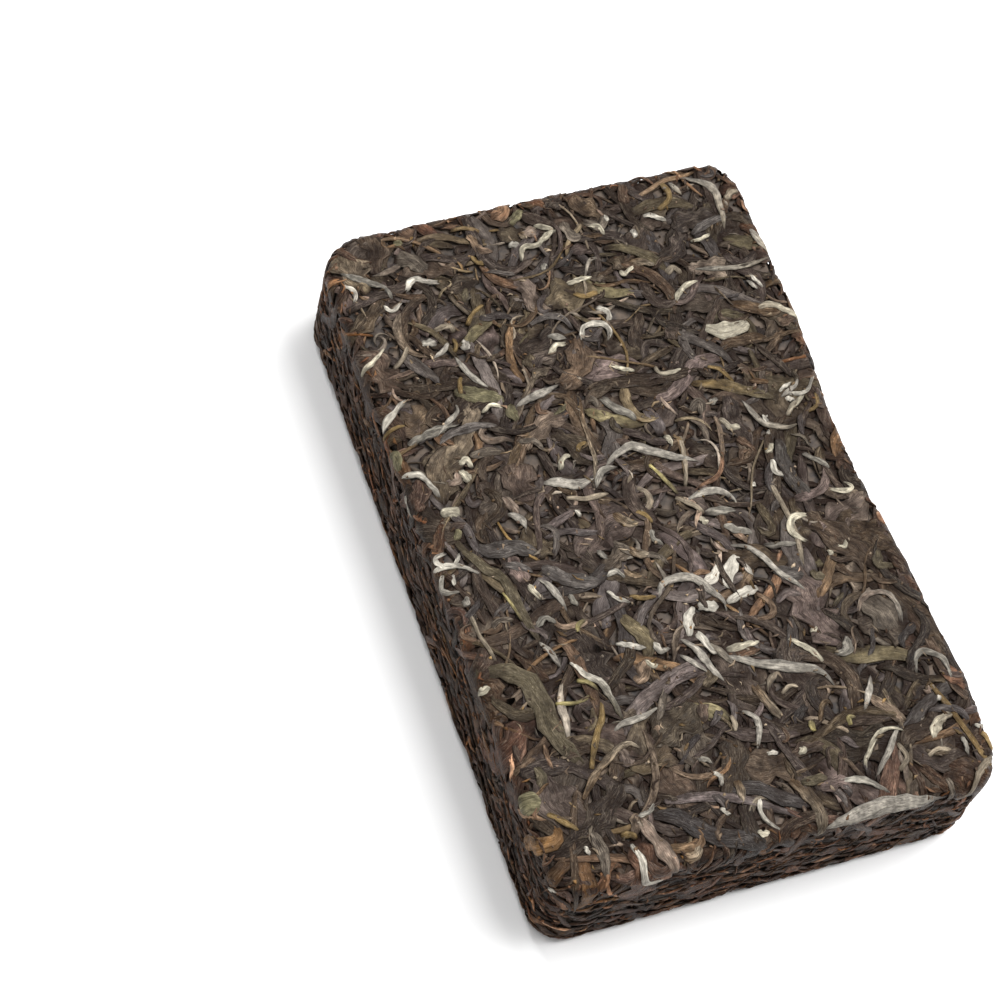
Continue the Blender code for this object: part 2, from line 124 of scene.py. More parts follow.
@dataclass(frozen=True)
class BrickForm:
    """The pressed block: an ideal rounded box, and the uneven shape that the pressing left.

    The box is the core under the leaves. Its faces lie leaf_cover inside the brick's own.
    """

    width: float = 90.0
    length: float = 144.0
    height: float = 25.0
    leaf_cover: float = 1.0
    far_right_radius: float = 6.5
    far_left_radius: float = 9.0
    near_left_radius: float = 6.5
    near_right_radius: float = 7.0
    top_rim: float = 1.6
    under_rim: float = 1.8
    hollow_depth: float = 2.2
    hollow_middle: float = 3.0
    hollow_reach: float = 34.0
    bulge_height: float = 0.9
    bulge_middle: float = -50.0
    bulge_reach: float = 16.0
    end_slant: float = 1.5
    top_wave: float = 0.35
    wave_length: tuple[float, float] = (65.0, 82.0)
    wave_start: float = 1.3
    outline_step: float = 0.5

    @property
    def half(self) -> Array:
        """Half the core's width and length."""
        return np.array([self.width, self.length]) / 2 - self.leaf_cover

    @property
    def core_top(self) -> float:
        """Height of the core's top face."""
        return self.height - self.leaf_cover

    @property
    def wall(self) -> float:
        """Height of the upright part of the core's sides, between the rims."""
        return self.core_top - self.top_rim - self.under_rim - self.leaf_cover

    @property
    def wall_start(self) -> float:
        """Travel over the top rim, where the upright wall starts."""
        return self.top_rim * math.pi / 2

    @property
    def full_travel(self) -> float:
        """Travel from the edge of the flat top, down the side, to the flat underside's edge."""
        return self.wall_start + self.wall + self.under_rim * math.pi / 2

    def radius_at(self, plan: Array) -> Array:
        """Corner radius of the quarter in which each plan point lies.

        Args:
            plan: Points in the plan, one row each.

        Returns:
            One radius for each point.
        """
        left = np.where(plan[:, 1] > 0, self.far_left_radius, self.near_left_radius)
        right = np.where(plan[:, 1] > 0, self.far_right_radius, self.near_right_radius)
        return np.where(plan[:, 0] > 0, right, left)

    def outline_at(self, plan: Array) -> tuple[Array, Array]:
        """Signed distance of plan points from the core's outline, and the outward directions.

        Args:
            plan: Points in the plan, one row each.

        Returns:
            The distances, positive outside, and one unit row for each point.
        """
        side = np.where(plan > 0, 1.0, -1.0)
        radius = self.radius_at(plan)
        over = np.abs(plan) - (self.half - radius[:, None])
        in_corner = (over > 0).all(axis=1)
        reach = np.maximum(np.hypot(over[:, 0], over[:, 1]), 1e-9)
        straight = np.zeros_like(plan)
        rows = np.arange(len(plan))
        straight[rows, np.argmax(over, axis=1)] = 1.0
        outward = np.where(in_corner[:, None], over / reach[:, None], straight) * side
        distance = np.where(in_corner, reach, over.max(axis=1)) - radius
        return distance, outward

    def outline_table(self) -> tuple[Array, Array]:
        """Places along the core's outline, counter-clockwise, with the distance walked to each.

        Returns:
            The distances walked, and rows of place and outward direction.
        """
        rows = []
        quarters = (
            (1, -1, self.near_right_radius, -90.0),
            (1, 1, self.far_right_radius, 0.0),
            (-1, 1, self.far_left_radius, 90.0),
            (-1, -1, self.near_left_radius, 180.0),
        )
        for side_x, side_y, radius, start in quarters:
            centre = np.array([side_x, side_y]) * (self.half - radius)
            steps = math.ceil(radius * math.pi / 2 / self.outline_step)
            for step in range(steps + 1):
                angle = math.radians(start + 90.0 * step / steps)
                outward = np.array([math.cos(angle), math.sin(angle)])
                rows.append(np.concatenate([centre + radius * outward, outward]))
        rows.append(rows[0])
        table = np.array(rows)
        legs = np.hypot(*np.diff(table[:, :2], axis=0).T)
        return np.concatenate([[0.0], np.cumsum(legs)]), table

    @property
    def around(self) -> float:
        """Length of the core's outline."""
        return float(self.outline_table()[0][-1])

    def surface(self, face: Face, places: Array) -> tuple[Array, Array]:
        """Points of the core's skin, and the skin's outward directions there.

        Args:
            face: Says what the places are: plan places on the top or the underside, which run
                on over the rim and along the side, or distance walked and travel on a side.
            places: One row of two numbers for each point.

        Returns:
            The points and the unit normals, one row each.
        """
        if face is Face.SIDE:
            walked, table = self.outline_table()
            along = np.mod(places[:, 0], walked[-1])
            rows = np.stack([np.interp(along, walked, column) for column in table.T], axis=1)
            foot, outward = np.split(rows, 2, axis=1)
            outward = outward / np.linalg.norm(outward, axis=1, keepdims=True)
            travel = places[:, 1]
        else:
            distance, outward = self.outline_at(places)
            foot = places - outward * distance[:, None]
            inner = distance + (self.top_rim if face is Face.TOP else self.under_rim)
            travel = inner if face is Face.TOP else self.full_travel - inner
        upper = np.clip(travel / self.top_rim, 0.0, math.pi / 2)
        lower = np.clip((travel - self.wall_start - self.wall) / self.under_rim, 0.0, math.pi / 2)
        down = np.clip(travel - self.wall_start, 0.0, self.wall)
        reach = (
            np.minimum(travel, 0.0)
            - self.top_rim * (1 - np.sin(upper))
            - self.under_rim * (1 - np.cos(lower))
            - np.maximum(travel - self.full_travel, 0.0)
        )
        level = (self.core_top - self.top_rim * (1 - np.cos(upper)) - down
                 - self.under_rim * np.sin(lower))
        out_share = np.sin(upper) * np.cos(lower)
        up_share = np.cos(upper) - np.sin(lower)
        points = np.column_stack([foot + outward * reach[:, None], level])
        normals = np.column_stack([outward * out_share[:, None], up_share])
        return points, normals

    def settle(self, points: Array) -> Array:
        """Points of the ideal brick moved to where the uneven pressing leaves them.

        Args:
            points: The ideal points, one row each.

        Returns:
            The moved points.
        """
        x, y, z = points.T
        share = np.maximum(0.0, x / self.half[0])
        quarter = math.pi / 2
        hollow_share = np.minimum(1.0, np.abs(y - self.hollow_middle) / self.hollow_reach)
        hollow = np.cos(hollow_share * quarter)
        bulge_share = np.minimum(1.0, np.abs(y - self.bulge_middle) / self.bulge_reach)
        bulge = np.cos(bulge_share * quarter)
        shift_x = share * (self.bulge_height * bulge ** 2 - self.hollow_depth * hollow ** 2)
        toward_end = np.maximum(0.0, y / self.half[1]) ** 2
        shift_y = -self.end_slant * toward_end * (0.5 - 0.5 * x / self.half[0])
        wave = (np.sin(2 * math.pi * x / self.wave_length[0] + self.wave_start)
                * np.sin(2 * math.pi * y / self.wave_length[1]))
        shift_z = -self.top_wave * (0.5 + 0.5 * wave) * z / self.height
        return points + np.column_stack([shift_x, shift_y, shift_z])


class Pile:
    """How high the leaves lie so far over each spot of the core's skin."""

    def __init__(self, form: BrickForm, cell: float = 0.45) -> None:
        """Start with the bare core.

        Args:
            form: The brick's form.
            cell: Edge of a cell of the height record.
        """
        self.form = form
        self.cell = cell
        self.low = np.array([-form.half[0], -form.half[1], form.leaf_cover]) - 3 * cell
        high = np.array([form.half[0], form.half[1], form.core_top]) + 3 * cell
        self.counts = np.ceil((high - self.low) / cell).astype(int) + 1
        self.heights = np.zeros(self.counts, np.float32)
        self.level = self.heights

    def cells(self, points: Array) -> tuple[Array, ...]:
        """The cell of each point, as three arrays of indices."""
        place = np.rint((points - self.low) / self.cell).astype(int)
        return tuple(np.clip(place, 0, self.counts - 1).T)

    def read(self, points: Array) -> Array:
        """Height of the pile over each point of the skin."""
        return self.heights[self.cells(points)]

    def heap(self, points: Array, tops: Array) -> None:
        """Raise the pile at points of the skin to the given heights."""
        np.maximum.at(self.heights, self.cells(points), tops.astype(np.float32))

    def skin_mask(self) -> Array:
        """Mark the cells through which the skin passes.

        Returns:
            One in each of them, and zero elsewhere.
        """
        mask = np.zeros(self.counts, np.float32)
        step = self.cell * 0.7
        across, along = [np.arange(-half, half + step, step) for half in self.form.half]
        plan = np.array(np.meshgrid(across, along)).reshape(2, -1).T
        walk = np.arange(0.0, self.form.around, step)
        travel = np.arange(0.0, self.form.full_travel, step)
        wall = np.array(np.meshgrid(walk, travel)).reshape(2, -1).T
        for face, places in ((Face.TOP, plan), (Face.UNDER, plan), (Face.SIDE, wall)):
            mask[self.cells(self.form.surface(face, places)[0])] = 1.0
        return mask

    def smooth(self, values: Array, reach: int) -> Array:
        """Average values over a cube of cells, twice over, for a soft falloff.

        Args:
            values: One value for each cell.
            reach: Half the cube's edge, in cells.

        Returns:
            The averages.
        """
        for axis in (0, 1, 2, 0, 1, 2):
            pad = [(reach + 1, reach) if number == axis else (0, 0) for number in range(3)]
            total = np.cumsum(np.pad(values, pad), axis=axis, dtype=np.float64)
            count = values.shape[axis]
            ahead = np.take(total, np.arange(count) + 2 * reach + 1, axis=axis)
            behind = np.take(total, np.arange(count), axis=axis)
            values = ((ahead - behind) / (2 * reach + 1)).astype(np.float32)
        return values

    def find_level(self, reach: float) -> None:
        """Work out the pile's general level, which the press brings down to one plane.

        Args:
            reach: How far around a spot its level is averaged.
        """
        mask = self.skin_mask()
        cells = max(1, round(reach / self.cell))
        weight = self.smooth(mask, cells)
        self.level = self.smooth(self.heights * mask, cells) / np.maximum(weight, 1e-4)

    def level_at(self, points: Array) -> Array:
        """General level of the pile at points of the skin, blended between cells.

        Args:
            points: The points, one row each.

        Returns:
            One level for each point.
        """
        place = np.clip((points - self.low) / self.cell, 0, self.counts - 1.001)
        corner = place.astype(int)
        part = place - corner
        result = np.zeros(len(points))
        for step in np.ndindex(2, 2, 2):
            share = np.prod(np.where(np.array(step) == 1, part, 1 - part), axis=1)
            result += share * self.level[tuple((corner + np.array(step)).T)]
        return result


@dataclass(frozen=True)
class LeafPattern:
    """One leaf modelled straight, to be laid many times.

    X runs along it from 0 to 1, Y across it from -1 to 1, and Z up from its bed, in thicknesses.
    """

    sides: int = 8
    rings: int = 12
    start_width: float = 0.35
    end_width: float = 0.3
    fullest: float = 0.4
    fullness: float = 0.6
    crown: float = 1.0
    belly: float = 0.3
    plateau: float = 0.55
    point: float = 0.02

    def spread(self, along: Array) -> Array:
        """Half width at each place along the leaf, as a share of the widest.

        Args:
            along: Places along the leaf, from 0 to 1.

        Returns:
            One share for each place.
        """
        toward_start = np.clip((self.fullest - along) / self.fullest, 0.0, 1.0)
        toward_end = np.clip((along - self.fullest) / (1 - self.fullest), 0.0, 1.0)
        start = 1 - (1 - self.start_width) * toward_start ** (2 / self.fullness)
        end = 1 - (1 - self.end_width) * toward_end ** (2 / self.fullness)
        return np.minimum(start, end)

    def model(self) -> "Template":
        """Model the leaf with mesh operators and read its mesh.

        Returns:
            The straight leaf, ready to lay.
        """
        bpy.ops.object.select_all(action="DESELECT")
        bpy.ops.mesh.primitive_cylinder_add(
            vertices=self.sides, radius=1.0, depth=1.0, end_fill_type="TRIFAN",
            location=(0.5, 0.0, 0.0), rotation=(0.0, math.pi / 2, 0.0),
        )
        item = bpy.context.object
        bpy.ops.object.transform_apply(location=True, rotation=True, scale=True)
        bpy.ops.object.mode_set(mode="EDIT")
        bpy.ops.mesh.select_mode(type="EDGE")
        self.pick(item, lambda edge: abs(edge.verts[0].co.x - edge.verts[1].co.x) > 0.5, "edges")
        bpy.ops.mesh.subdivide(number_cuts=self.rings - 2)
        bpy.ops.mesh.select_mode(type="VERT")
        self.shape_section(item)
        for ring in range(self.rings):
            along = ring / (self.rings - 1)
            share = float(self.spread(np.array([along]))[0])
            if self.pick(item, lambda vert: abs(vert.co.x - along) < 1e-4, "verts"):
                bpy.ops.transform.resize(value=(1.0, share, 0.35 + 0.65 * share),
                                         center_override=(along, 0.0, 0.0))
        for end, way in ((0.0, -1.0), (1.0, 1.0)):
            if self.pick(item, lambda vert: (abs(vert.co.x - end) < 1e-4
                                             and math.hypot(vert.co.y, vert.co.z) < 0.02), "verts"):
                bpy.ops.transform.translate(value=(way * self.point, 0.0, 0.0))
        bpy.ops.object.mode_set(mode="OBJECT")
        template = Template.read(self, item)
        bpy.data.objects.remove(item, do_unlink=True)
        return template

    def shape_section(self, item: bpy.types.Object) -> None:
        """Turn the round section into a flat crown with thin edges over one line of keel.

        Args:
            item: The modelled cylinder, in edit mode.
        """
        for line in range(self.sides):
            angle = 2 * math.pi * line / self.sides
            start = (math.cos(angle), math.sin(angle))
            if not self.pick(item, lambda vert: math.hypot(
                    vert.co.y - start[0], vert.co.z - start[1]) < 1e-3, "verts"):
                continue
            across, lift = self.section_point(line)
            bpy.ops.transform.translate(value=(0.0, across - start[0], lift - start[1]))

    def section_point(self, line: int) -> tuple[float, float]:
        """Where one line along the leaf lies in its section.

        Args:
            line: The line's number.

        Returns:
            Its place across, from -1 to 1, and up.
        """
        if line == self.sides - 1:
            return 0.0, -self.belly
        turn = math.pi * line / (self.sides - 2)
        return math.cos(turn), self.crown * math.sin(turn) ** self.plateau

    @staticmethod
    def pick(item: bpy.types.Object, wanted: Callable[..., bool], parts: str) -> bool:
        """Select the vertices or edges of a mesh in edit mode that pass a test.

        Args:
            item: The object in edit mode.
            wanted: The test, which takes one vertex or edge.
            parts: Either verts or edges.

        Returns:
            True if anything is selected.
        """
        shape = bmesh.from_edit_mesh(item.data)
        for group in (shape.verts, shape.edges, shape.faces):
            for part in group:
                part.select = False
        found = [part for part in getattr(shape, parts) if wanted(part)]
        for part in found:
            part.select_set(True)
        shape.select_flush_mode()
        bmesh.update_edit_mesh(item.data)
        return bool(found)


@dataclass(frozen=True)
class Template:
    """A modelled straight leaf as arrays."""

    pattern: LeafPattern
    along: Array
    across: Array
    lift: Array
    corners: Array
    counts: Array

    @classmethod
    def read(cls, pattern: LeafPattern, item: bpy.types.Object) -> "Template":
        """Read the arrays from a modelled mesh.

        Args:
            pattern: The pattern by which the mesh was modelled.
            item: The object with the mesh.

        Returns:
            The template.
        """
        mesh = item.data
        points = np.empty(len(mesh.vertices) * 3)
        mesh.vertices.foreach_get("co", points)
        points = points.reshape(-1, 3)
        corners = np.empty(len(mesh.loops), int)
        mesh.loops.foreach_get("vertex_index", corners)
        counts = np.empty(len(mesh.polygons), int)
        mesh.polygons.foreach_get("loop_total", counts)
        return cls(pattern, points[:, 0], points[:, 1], points[:, 2], corners, counts)


@dataclass(frozen=True)
class Leaf:
    """One leaf to lay: its path over a face of the brick, its size and its colours."""

    kind: Kind
    template: Template
    face: Face
    path: Array
    width: float
    thickness: float
    start_colour: Array
    end_colour: Array
    ragged: float = 0.12
    fold: float = 0.5
    wrinkle: float = 0.15
    roll: float = 0.2
    drape: float = 0.5


def smooth_path(points: Array, count: int) -> Array:
    """Points of a smooth curve through the given ones, spread evenly along it.

    Args:
        points: The given points, one row each.
        count: How many points to return.

    Returns:
        The curve's points, one row each.
    """
    ends = np.vstack([2 * points[0] - points[1], points, 2 * points[-1] - points[-2]])
    place = np.linspace(0.0, len(points) - 1, 4 * count)
    index = np.minimum(place.astype(int), len(points) - 2)
    part = (place - index)[:, None]
    before, start, end, after = (ends[index + step] for step in range(4))
    curve = (
        start * (2 * part ** 3 - 3 * part ** 2 + 1)
        + (end - before) / 2 * (part ** 3 - 2 * part ** 2 + part)
        + end * (3 * part ** 2 - 2 * part ** 3)
        + (after - start) / 2 * (part ** 3 - part ** 2)
    )
    walked = np.concatenate([[0.0], np.cumsum(np.hypot(*np.diff(curve, axis=0).T))])
    even = np.linspace(0.0, walked[-1], count)
    return np.column_stack([np.interp(even, walked, column) for column in curve.T])


class Layer:
    """Lays leaves one by one on the pile, and presses them in the end."""

    PATH_STEPS = 28
    BED_STEP = 0.55
    BED_ROWS = 5
    SOFTEN = 5
    TUCK = 0.7
    PRESS_LEVEL = 0.6
    PRESS_GAIN = 0.8
    PRESS_REACH = 2.6
    CEILING = 0.98
    CEILING_BLEND = 0.22
    FLOOR_GAP = 0.03
    HIGHEST_SHARE = 0.55
    MEAN_SHARE = 0.45
    MAP_SPREAD = 400.0
    CROWN_TOP = 1.2
    DEPTH_REACH = 1.3

    def __init__(self, form: BrickForm, draw: np.random.Generator) -> None:
        """Start with nothing laid.

        Args:
            form: The brick's form.
            draw: The source of all random numbers.
        """
        self.form = form
        self.draw = draw
        self.pile = Pile(form)
        self.laid: dict[Kind, list[dict[str, Array]]] = {kind: [] for kind in Kind}
        self.count = 0

    def lay(self, leaf: Leaf) -> None:
        """Lay one leaf on the pile, bent to its path and draped over what is under it.

        Args:
            leaf: The leaf.
        """
        path = smooth_path(leaf.path, self.PATH_STEPS)
        steps = np.linspace(0.0, 1.0, self.PATH_STEPS)
        way = np.gradient(path, axis=0)
        way /= np.maximum(np.linalg.norm(way, axis=1, keepdims=True), 1e-9)
        length = float(np.hypot(*np.diff(path, axis=0).T).sum())
        waves = self.draw.uniform(0.0, 2 * math.pi, 8)
        rates = self.draw.uniform(0.6, 1.6, 4) * max(1.0, length / 7.0)

        def edge(along: Array, across: Array) -> Array:
            """How far out of its even width the leaf's edge is pushed.

            Args:
                along: Places along the leaf, from 0 to 1.
                across: Places across it, from -1 to 1.

            Returns:
                A factor for each place.
            """
            left = np.sin(2 * math.pi * rates[0] * along + waves[0])
            right = np.sin(2 * math.pi * rates[1] * along + waves[1])
            fine = np.sin(5.1 * math.pi * rates[2] * along + waves[2] + across)
            return 1 + leaf.ragged * (np.where(across > 0, left, right) + 0.5 * fine)

        def place(along: Array, across: Array) -> Array:
            """Places on the face of points of the leaf.

            Args:
                along: Places along the leaf, from 0 to 1.
                across: Places across it, from -1 to 1.

            Returns:
                One row of two numbers for each point.
            """
            middle = np.column_stack([np.interp(along, steps, column) for column in path.T])
            ahead = np.column_stack([np.interp(along, steps, column) for column in way.T])
            hand = 1.0 if leaf.face is Face.TOP else -1.0
            left = np.column_stack([-ahead[:, 1], ahead[:, 0]]) * hand
            beyond = np.minimum(along, 0.0) + np.maximum(along - 1.0, 0.0)
            return middle + ahead * (beyond * length)[:, None] + left * (
                across * edge(along, across) * leaf.width / 2)[:, None]

        rows = max(5, math.ceil(length / self.BED_STEP))
        columns = max(self.BED_ROWS, math.ceil(leaf.width / 0.4))
        grid_along, grid_across = np.meshgrid(
            np.linspace(0.0, 1.0, rows), np.linspace(-1.0, 1.0, columns), indexing="ij")
        spread = leaf.template.pattern.spread(grid_along.ravel())
        bed_points, _ = self.form.surface(
            leaf.face, place(grid_along.ravel(), grid_across.ravel() * spread))
        under = self.pile.read(bed_points).reshape(rows, columns)
        line = self.HIGHEST_SHARE * under.max(axis=1) + self.MEAN_SHARE * under.mean(axis=1)
        bed = (1 - leaf.drape) * self.soften(line)[:, None] + leaf.drape * self.soften_rows(under)
        bed = bed - self.TUCK * leaf.thickness * np.abs(2 * grid_along - 1) ** 5

        template = leaf.template
        half_width = np.maximum(template.pattern.spread(np.clip(template.along, 0.0, 1.0)), 1e-3)
        side = np.clip(template.across / half_width, -1.0, 1.0)
        bed_here = self.blend(bed, np.clip(template.along, 0.0, 1.0), side)
        ripple = (
            np.sin(2 * math.pi * rates[3] * template.along + waves[3] + 1.7 * side)
            + 0.6 * np.sin(4.3 * math.pi * rates[0] * template.along + waves[4] - 2.3 * side)
        )
        roll = leaf.roll * np.sin(math.pi * rates[1] * template.along + waves[5]) * side
        shape = np.where(template.lift > 0, template.lift * (
            1 - leaf.fold + leaf.fold * self.ridges(template.along, side, waves, rates)
            + leaf.wrinkle * ripple), template.lift)
        offset = bed_here + leaf.thickness * (0.2 + 0.8 * shape + roll)
        places = place(template.along, template.across)
        points, normals = self.form.surface(leaf.face, places)

        crest = leaf.thickness * (0.9 - 0.45 * grid_across ** 2)
        self.pile.heap(bed_points, (bed + crest).ravel())

        share = np.clip(template.along + 0.12 * np.sin(3 * side + waves[6]), 0.0, 1.0)[:, None]
        start = np.column_stack([template.along * length, template.across * leaf.width / 2])
        self.laid[leaf.kind].append({
            "point": points,
            "normal": normals,
            "offset": offset,
            "pattern": start + self.draw.uniform(0.0, self.MAP_SPREAD, 2),
            "tint": leaf.start_colour * (1 - share) + leaf.end_colour * share,
            "crown": np.clip(shape, 0.0, self.CROWN_TOP) / self.CROWN_TOP,
            "margin": np.abs(side),
            "corners": template.corners,
            "counts": template.counts,
        })
        self.count += 1

    @staticmethod
    def ridges(along: Array, side: Array, waves: Array, rates: Array) -> Array:
        """Folds that wander from edge to edge along a twisted leaf.

        Args:
            along: Places along the leaf, from 0 to 1.
            side: Places across it, from -1 to 1.
            waves: Random phases.
            rates: Random rates of the wandering.

        Returns:
            The folds' height at each place, about 0 to 1.5.
        """
        first = 0.8 * np.sin(math.pi * rates[2] * along + waves[6])
        second = 0.8 * np.sin(math.pi * rates[3] * along + waves[7])
        return (1.25 * np.exp(-((side - first) / 0.3) ** 2)
                + 0.9 * np.exp(-((side - second) / 0.24) ** 2))

    def soften(self, line: Array) -> Array:
        """A row of heights averaged over its neighbours.

        Args:
            line: The heights.

        Returns:
            The averages.
        """
        pad = self.SOFTEN // 2
        kernel = np.ones(self.SOFTEN) / self.SOFTEN
        return np.convolve(np.pad(line, pad, mode="edge"), kernel, mode="valid")

    def soften_rows(self, heights: Array) -> Array:
        """A grid of heights averaged a little both ways.

        Args:
            heights: The heights along the leaf by across it.

        Returns:
            The averages.
        """
        padded = np.pad(heights, 1, mode="edge")
        along = (padded[:-2] + 2 * padded[1:-1] + padded[2:]) / 4
        return (along[:, :-2] + 2 * along[:, 1:-1] + along[:, 2:]) / 4

    @staticmethod
    def blend(grid: Array, along: Array, side: Array) -> Array:
        """Values of a grid over the leaf at places between its points.

        Args:
            grid: Values along the leaf by across it.
            along: Places along, from 0 to 1.
            side: Places across, from -1 to 1.

        Returns:
            One value for each place.
        """
        row = along * (grid.shape[0] - 1)
        column = (side + 1) / 2 * (grid.shape[1] - 1)
        row_start = np.minimum(row.astype(int), grid.shape[0] - 2)
        column_start = np.minimum(column.astype(int), grid.shape[1] - 2)
        row_part = row - row_start
        column_part = column - column_start
        near = (grid[row_start, column_start] * (1 - column_part)
                + grid[row_start, column_start + 1] * column_part)
        far = (grid[row_start + 1, column_start] * (1 - column_part)
               + grid[row_start + 1, column_start + 1] * column_part)
        return near * (1 - row_part) + far * row_part

    def pressed(self, points: Array, offsets: Array) -> Array:
        """Heights over the skin once the press has brought the pile down to one level.

        Args:
            points: Points of the skin, one row each.
            offsets: The leaves' heights over them before the pressing.

        Returns:
            One height for each point.
        """
        height = self.PRESS_LEVEL + self.PRESS_GAIN * (offsets - self.pile.level_at(points))
        over = (height - self.CEILING) / self.CEILING_BLEND
        return self.CEILING - self.CEILING_BLEND * np.logaddexp(0.0, -over)

    def finish(self, kind: Kind) -> bpy.types.Object | None:
        """Press all leaves of one kind and join them into one mesh.

        Args:
            kind: The kind of leaf.

        Returns:
            The finished object, or None if no leaf of this kind was laid.
        """
        leaves = self.laid[kind]
        if not leaves:
            return None
        whole = {key: np.concatenate([leaf[key] for leaf in leaves]) for key in leaves[0]}
        sizes = np.array([len(leaf["offset"]) for leaf in leaves])
        shift = np.repeat(np.cumsum(sizes) - sizes, [len(leaf["corners"]) for leaf in leaves])
        height = self.pressed(whole["point"], whole["offset"])
        placed = self.form.settle(whole["point"] + whole["normal"] * height[:, None])
        placed[:, 2] = np.maximum(placed[:, 2], self.FLOOR_GAP)
        mesh = joined_mesh(kind.value, placed * MM, whole["corners"] + shift, whole["counts"])
        write_colour(mesh, "tint", whole["tint"])
        # Height within the leaf's section, by which the material paints ridges paler and low edges
        # darker, partly as wear and partly as painted highlight and shade
        write_value(mesh, "crown", whole["crown"])
        write_value(mesh, "margin", whole["margin"])
        # Depth under the pressed top, by which the leaf material paints shade on leaf that lies
        # deep between others
        write_value(mesh, "depth", np.clip((self.CEILING - height) / self.DEPTH_REACH, 0.0, 1.0))
        write_pattern(mesh, whole["pattern"])
        item = bpy.data.objects.new(kind.value, mesh)
        bpy.context.scene.collection.objects.link(item)
        return item


def joined_mesh(name: str, points: Array, corners: Array, counts: Array) -> bpy.types.Mesh:
    """A smooth mesh from joined arrays.

    Args:
        name: The mesh's name.
        points: The vertices' places, in metres.
        corners: The vertex of each face corner.
        counts: The number of corners of each face.

    Returns:
        The mesh.
    """
    mesh = bpy.data.meshes.new(name)
    mesh.vertices.add(len(points))
    mesh.vertices.foreach_set("co", points.astype(np.float32).ravel())
    mesh.loops.add(len(corners))
    mesh.loops.foreach_set("vertex_index", corners.astype(np.int32))
    mesh.polygons.add(len(counts))
    mesh.polygons.foreach_set("loop_start", (np.cumsum(counts) - counts).astype(np.int32))
    mesh.update(calc_edges=True)
    mesh.validate()
    mesh.shade_smooth()
    return mesh


def write_colour(mesh: bpy.types.Mesh, name: str, colours: Array) -> None:
    """Write a colour for each vertex.

    Args:
        mesh: The mesh.
        name: The attribute's name.
        colours: One row of red, green and blue for each vertex, in linear light.
    """
    layer = mesh.attributes.new(name, "FLOAT_COLOR", "POINT")
    rows = np.column_stack([colours, np.ones(len(colours))])
    layer.data.foreach_set("color", rows.astype(np.float32).ravel())


def write_value(mesh: bpy.types.Mesh, name: str, values: Array) -> None:
    """Write a number for each vertex."""
    layer = mesh.attributes.new(name, "FLOAT", "POINT")
    layer.data.foreach_set("value", values.astype(np.float32))


def write_pattern(mesh: bpy.types.Mesh, places: Array) -> None:
    """Write each vertex's place on its leaf as the UV map.

    Args:
        mesh: The mesh.
        places: The places along and across, in millimetres, one row for each vertex.
    """
    corners = np.empty(len(mesh.loops), int)
    mesh.loops.foreach_get("vertex_index", corners)
    layer = mesh.uv_layers.new(name="leaf_map")
    layer.data.foreach_set("uv", places[corners].astype(np.float32).ravel())


